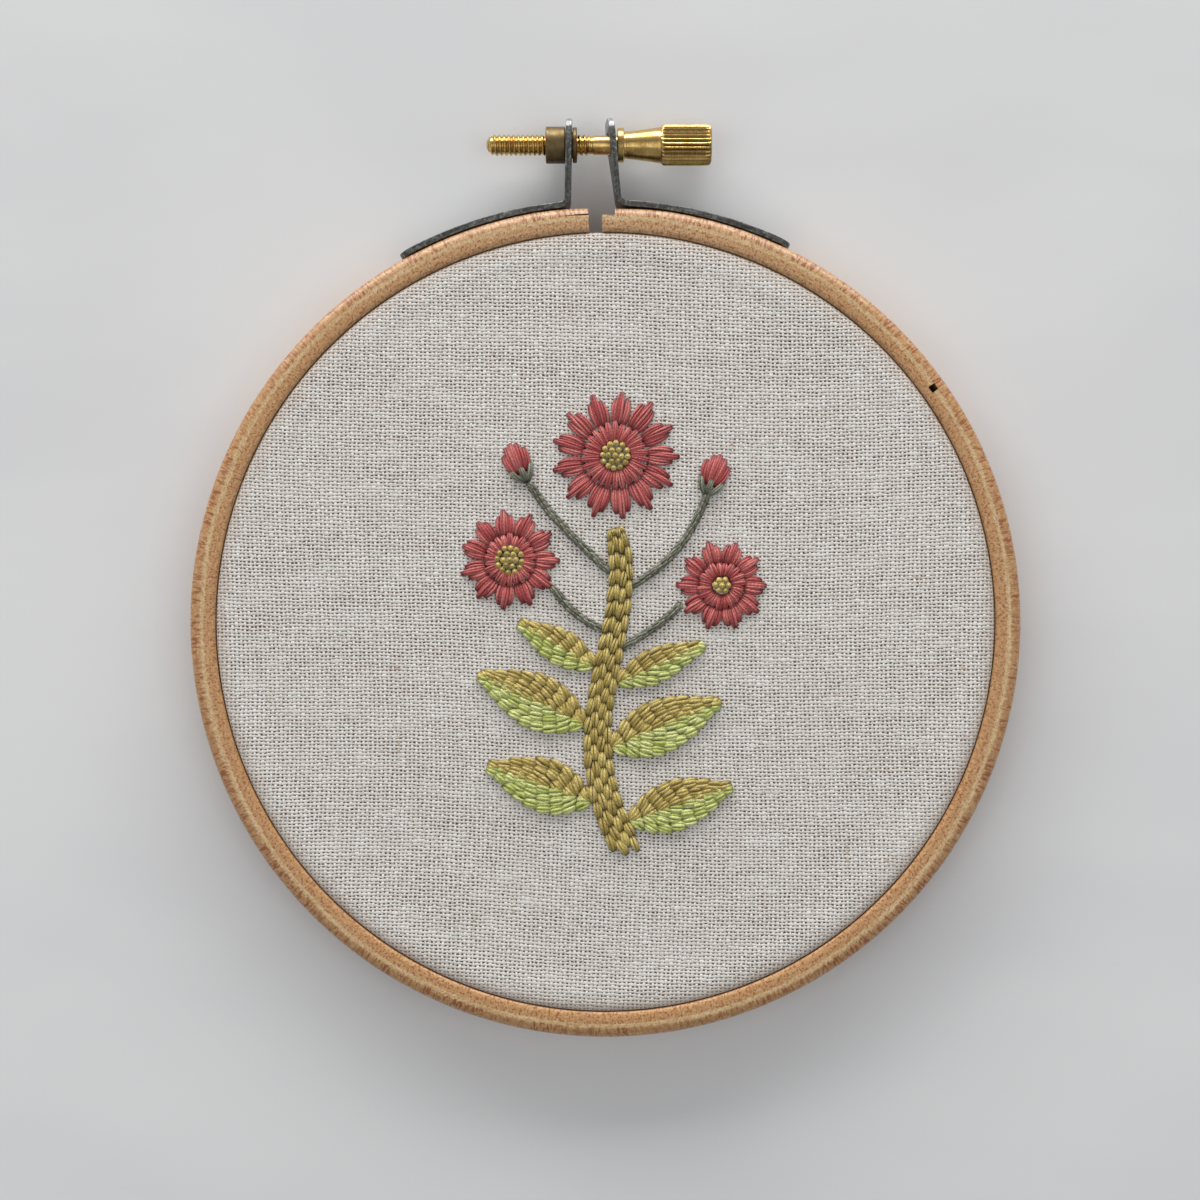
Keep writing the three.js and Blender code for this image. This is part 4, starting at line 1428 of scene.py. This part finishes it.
# %% Floor
FLOOR_SIDE = 3.0
PAPER = {"dark": (0.70, 0.705, 0.715), "pale": (0.74, 0.745, 0.75)}


def floor():
    finish = Finish("pale paper", Roughness=0.85, Specular_IOR_Level=0.2)
    x, y, _ = finish.place()
    fibres = finish.noise((x, y, 0.0), (190.0, 300.0, 1), 3, 0.5)
    mottle = finish.noise((x, y, 4.0), (14.0, 30.0, 1), 2)
    colour = finish.blend(mottle.ramp(0.3, 0.7), PAPER["dark"], PAPER["pale"])
    material = finish.done(Base_Color=colour, Normal=finish.bump(fibres, 0.04 * MM, 0.4))
    bpy.ops.mesh.primitive_plane_add(size=FLOOR_SIDE, location=(0, 0, 0))
    obj = bpy.context.object
    obj.name = "floor"
    obj.data.materials.append(material)


floor()


# %% [markdown]
# The light is a broad window beyond the top of the hoop, so the wood's rounded edge is bright at the top and
# the shadow falls below. Two soft boards above, one on each side, fill the cloth evenly, and the room itself
# fills the shadows. One bright lamp would be simpler, but its hard shadow would hide the stitches' soft
# shape. The room is paler towards the window and dim straight above, where the camera hangs.

# %% Light
WINDOW = {"place": (-0.13, 1.61, 0.47), "size": (3.2, 0.84), "power": 54, "colour": (1.0, 0.985, 0.965)}
BOARD = {"size": (0.9, 0.9), "power": 2.9, "colour": (0.985, 0.99, 1.0)}
LIGHTS = {
    "window": WINDOW,
    "board_left": {"place": (-0.635, -0.17, 1.236), **BOARD},
    "board_right": {"place": (0.635, -0.17, 1.236), **BOARD},
}
ROOM_COLOUR = (0.975, 0.985, 1.0)


def area_light(name, place, size, power, colour):
    """A flat soft light that looks at the middle of the floor."""
    data = bpy.data.lights.new(name, "AREA")
    data.shape, data.size, data.size_y, data.energy, data.color = "RECTANGLE", *size, power, colour
    obj = bpy.data.objects.new(name, data)
    obj.location = place
    obj.rotation_euler = (-Vector(place)).to_track_quat("-Z", "Y").to_euler()
    bpy.context.scene.collection.objects.link(obj)


for name, light in LIGHTS.items():
    area_light(name, **light)
    print(name, "gives", light["power"], "watts")

world = bpy.data.worlds.new("pale room")
world.use_nodes = True
room = Nodes(world.node_tree)
_, towards_window, up = room.add("ShaderNodeTexCoord", output="Generated").parts()
strength = up.ramp(0.75, 0.97, 0.30, 0.16) * towards_window.ramp(-0.1, 0.6, 1.0, 1.3)
background = world.node_tree.nodes["Background"]
room.put(background.inputs["Strength"], strength)
room.put(background.inputs["Color"], ROOM_COLOUR)
scene = bpy.context.scene
scene.world = world
scene.view_settings.view_transform = "Standard"


# %% [markdown]
# The camera hangs straight over the hoop, a little above its middle, because the straps and the screw stand
# out at the top. A camera in Blender looks straight down until it is turned, so this one needs no aim. A
# longer lens from further up would frame the same circle, but it would show less of the rounded edges than an
# eye close by sees.

# %% Camera
CAMERA = {"over": 0.350, "lens": 63.6, "sensor": 36.0, "x": -0.9 * MM, "y": 3.6 * MM}

camera_data = bpy.data.cameras.new("camera")
camera_data.lens, camera_data.sensor_width = CAMERA["lens"], CAMERA["sensor"]
camera = bpy.data.objects.new("camera", camera_data)
camera.location = (CAMERA["x"], HOOP_Y + CAMERA["y"], RING_FACE + CAMERA["over"])
scene.collection.objects.link(camera)
scene.camera = camera
print("camera at", tuple(camera.location))
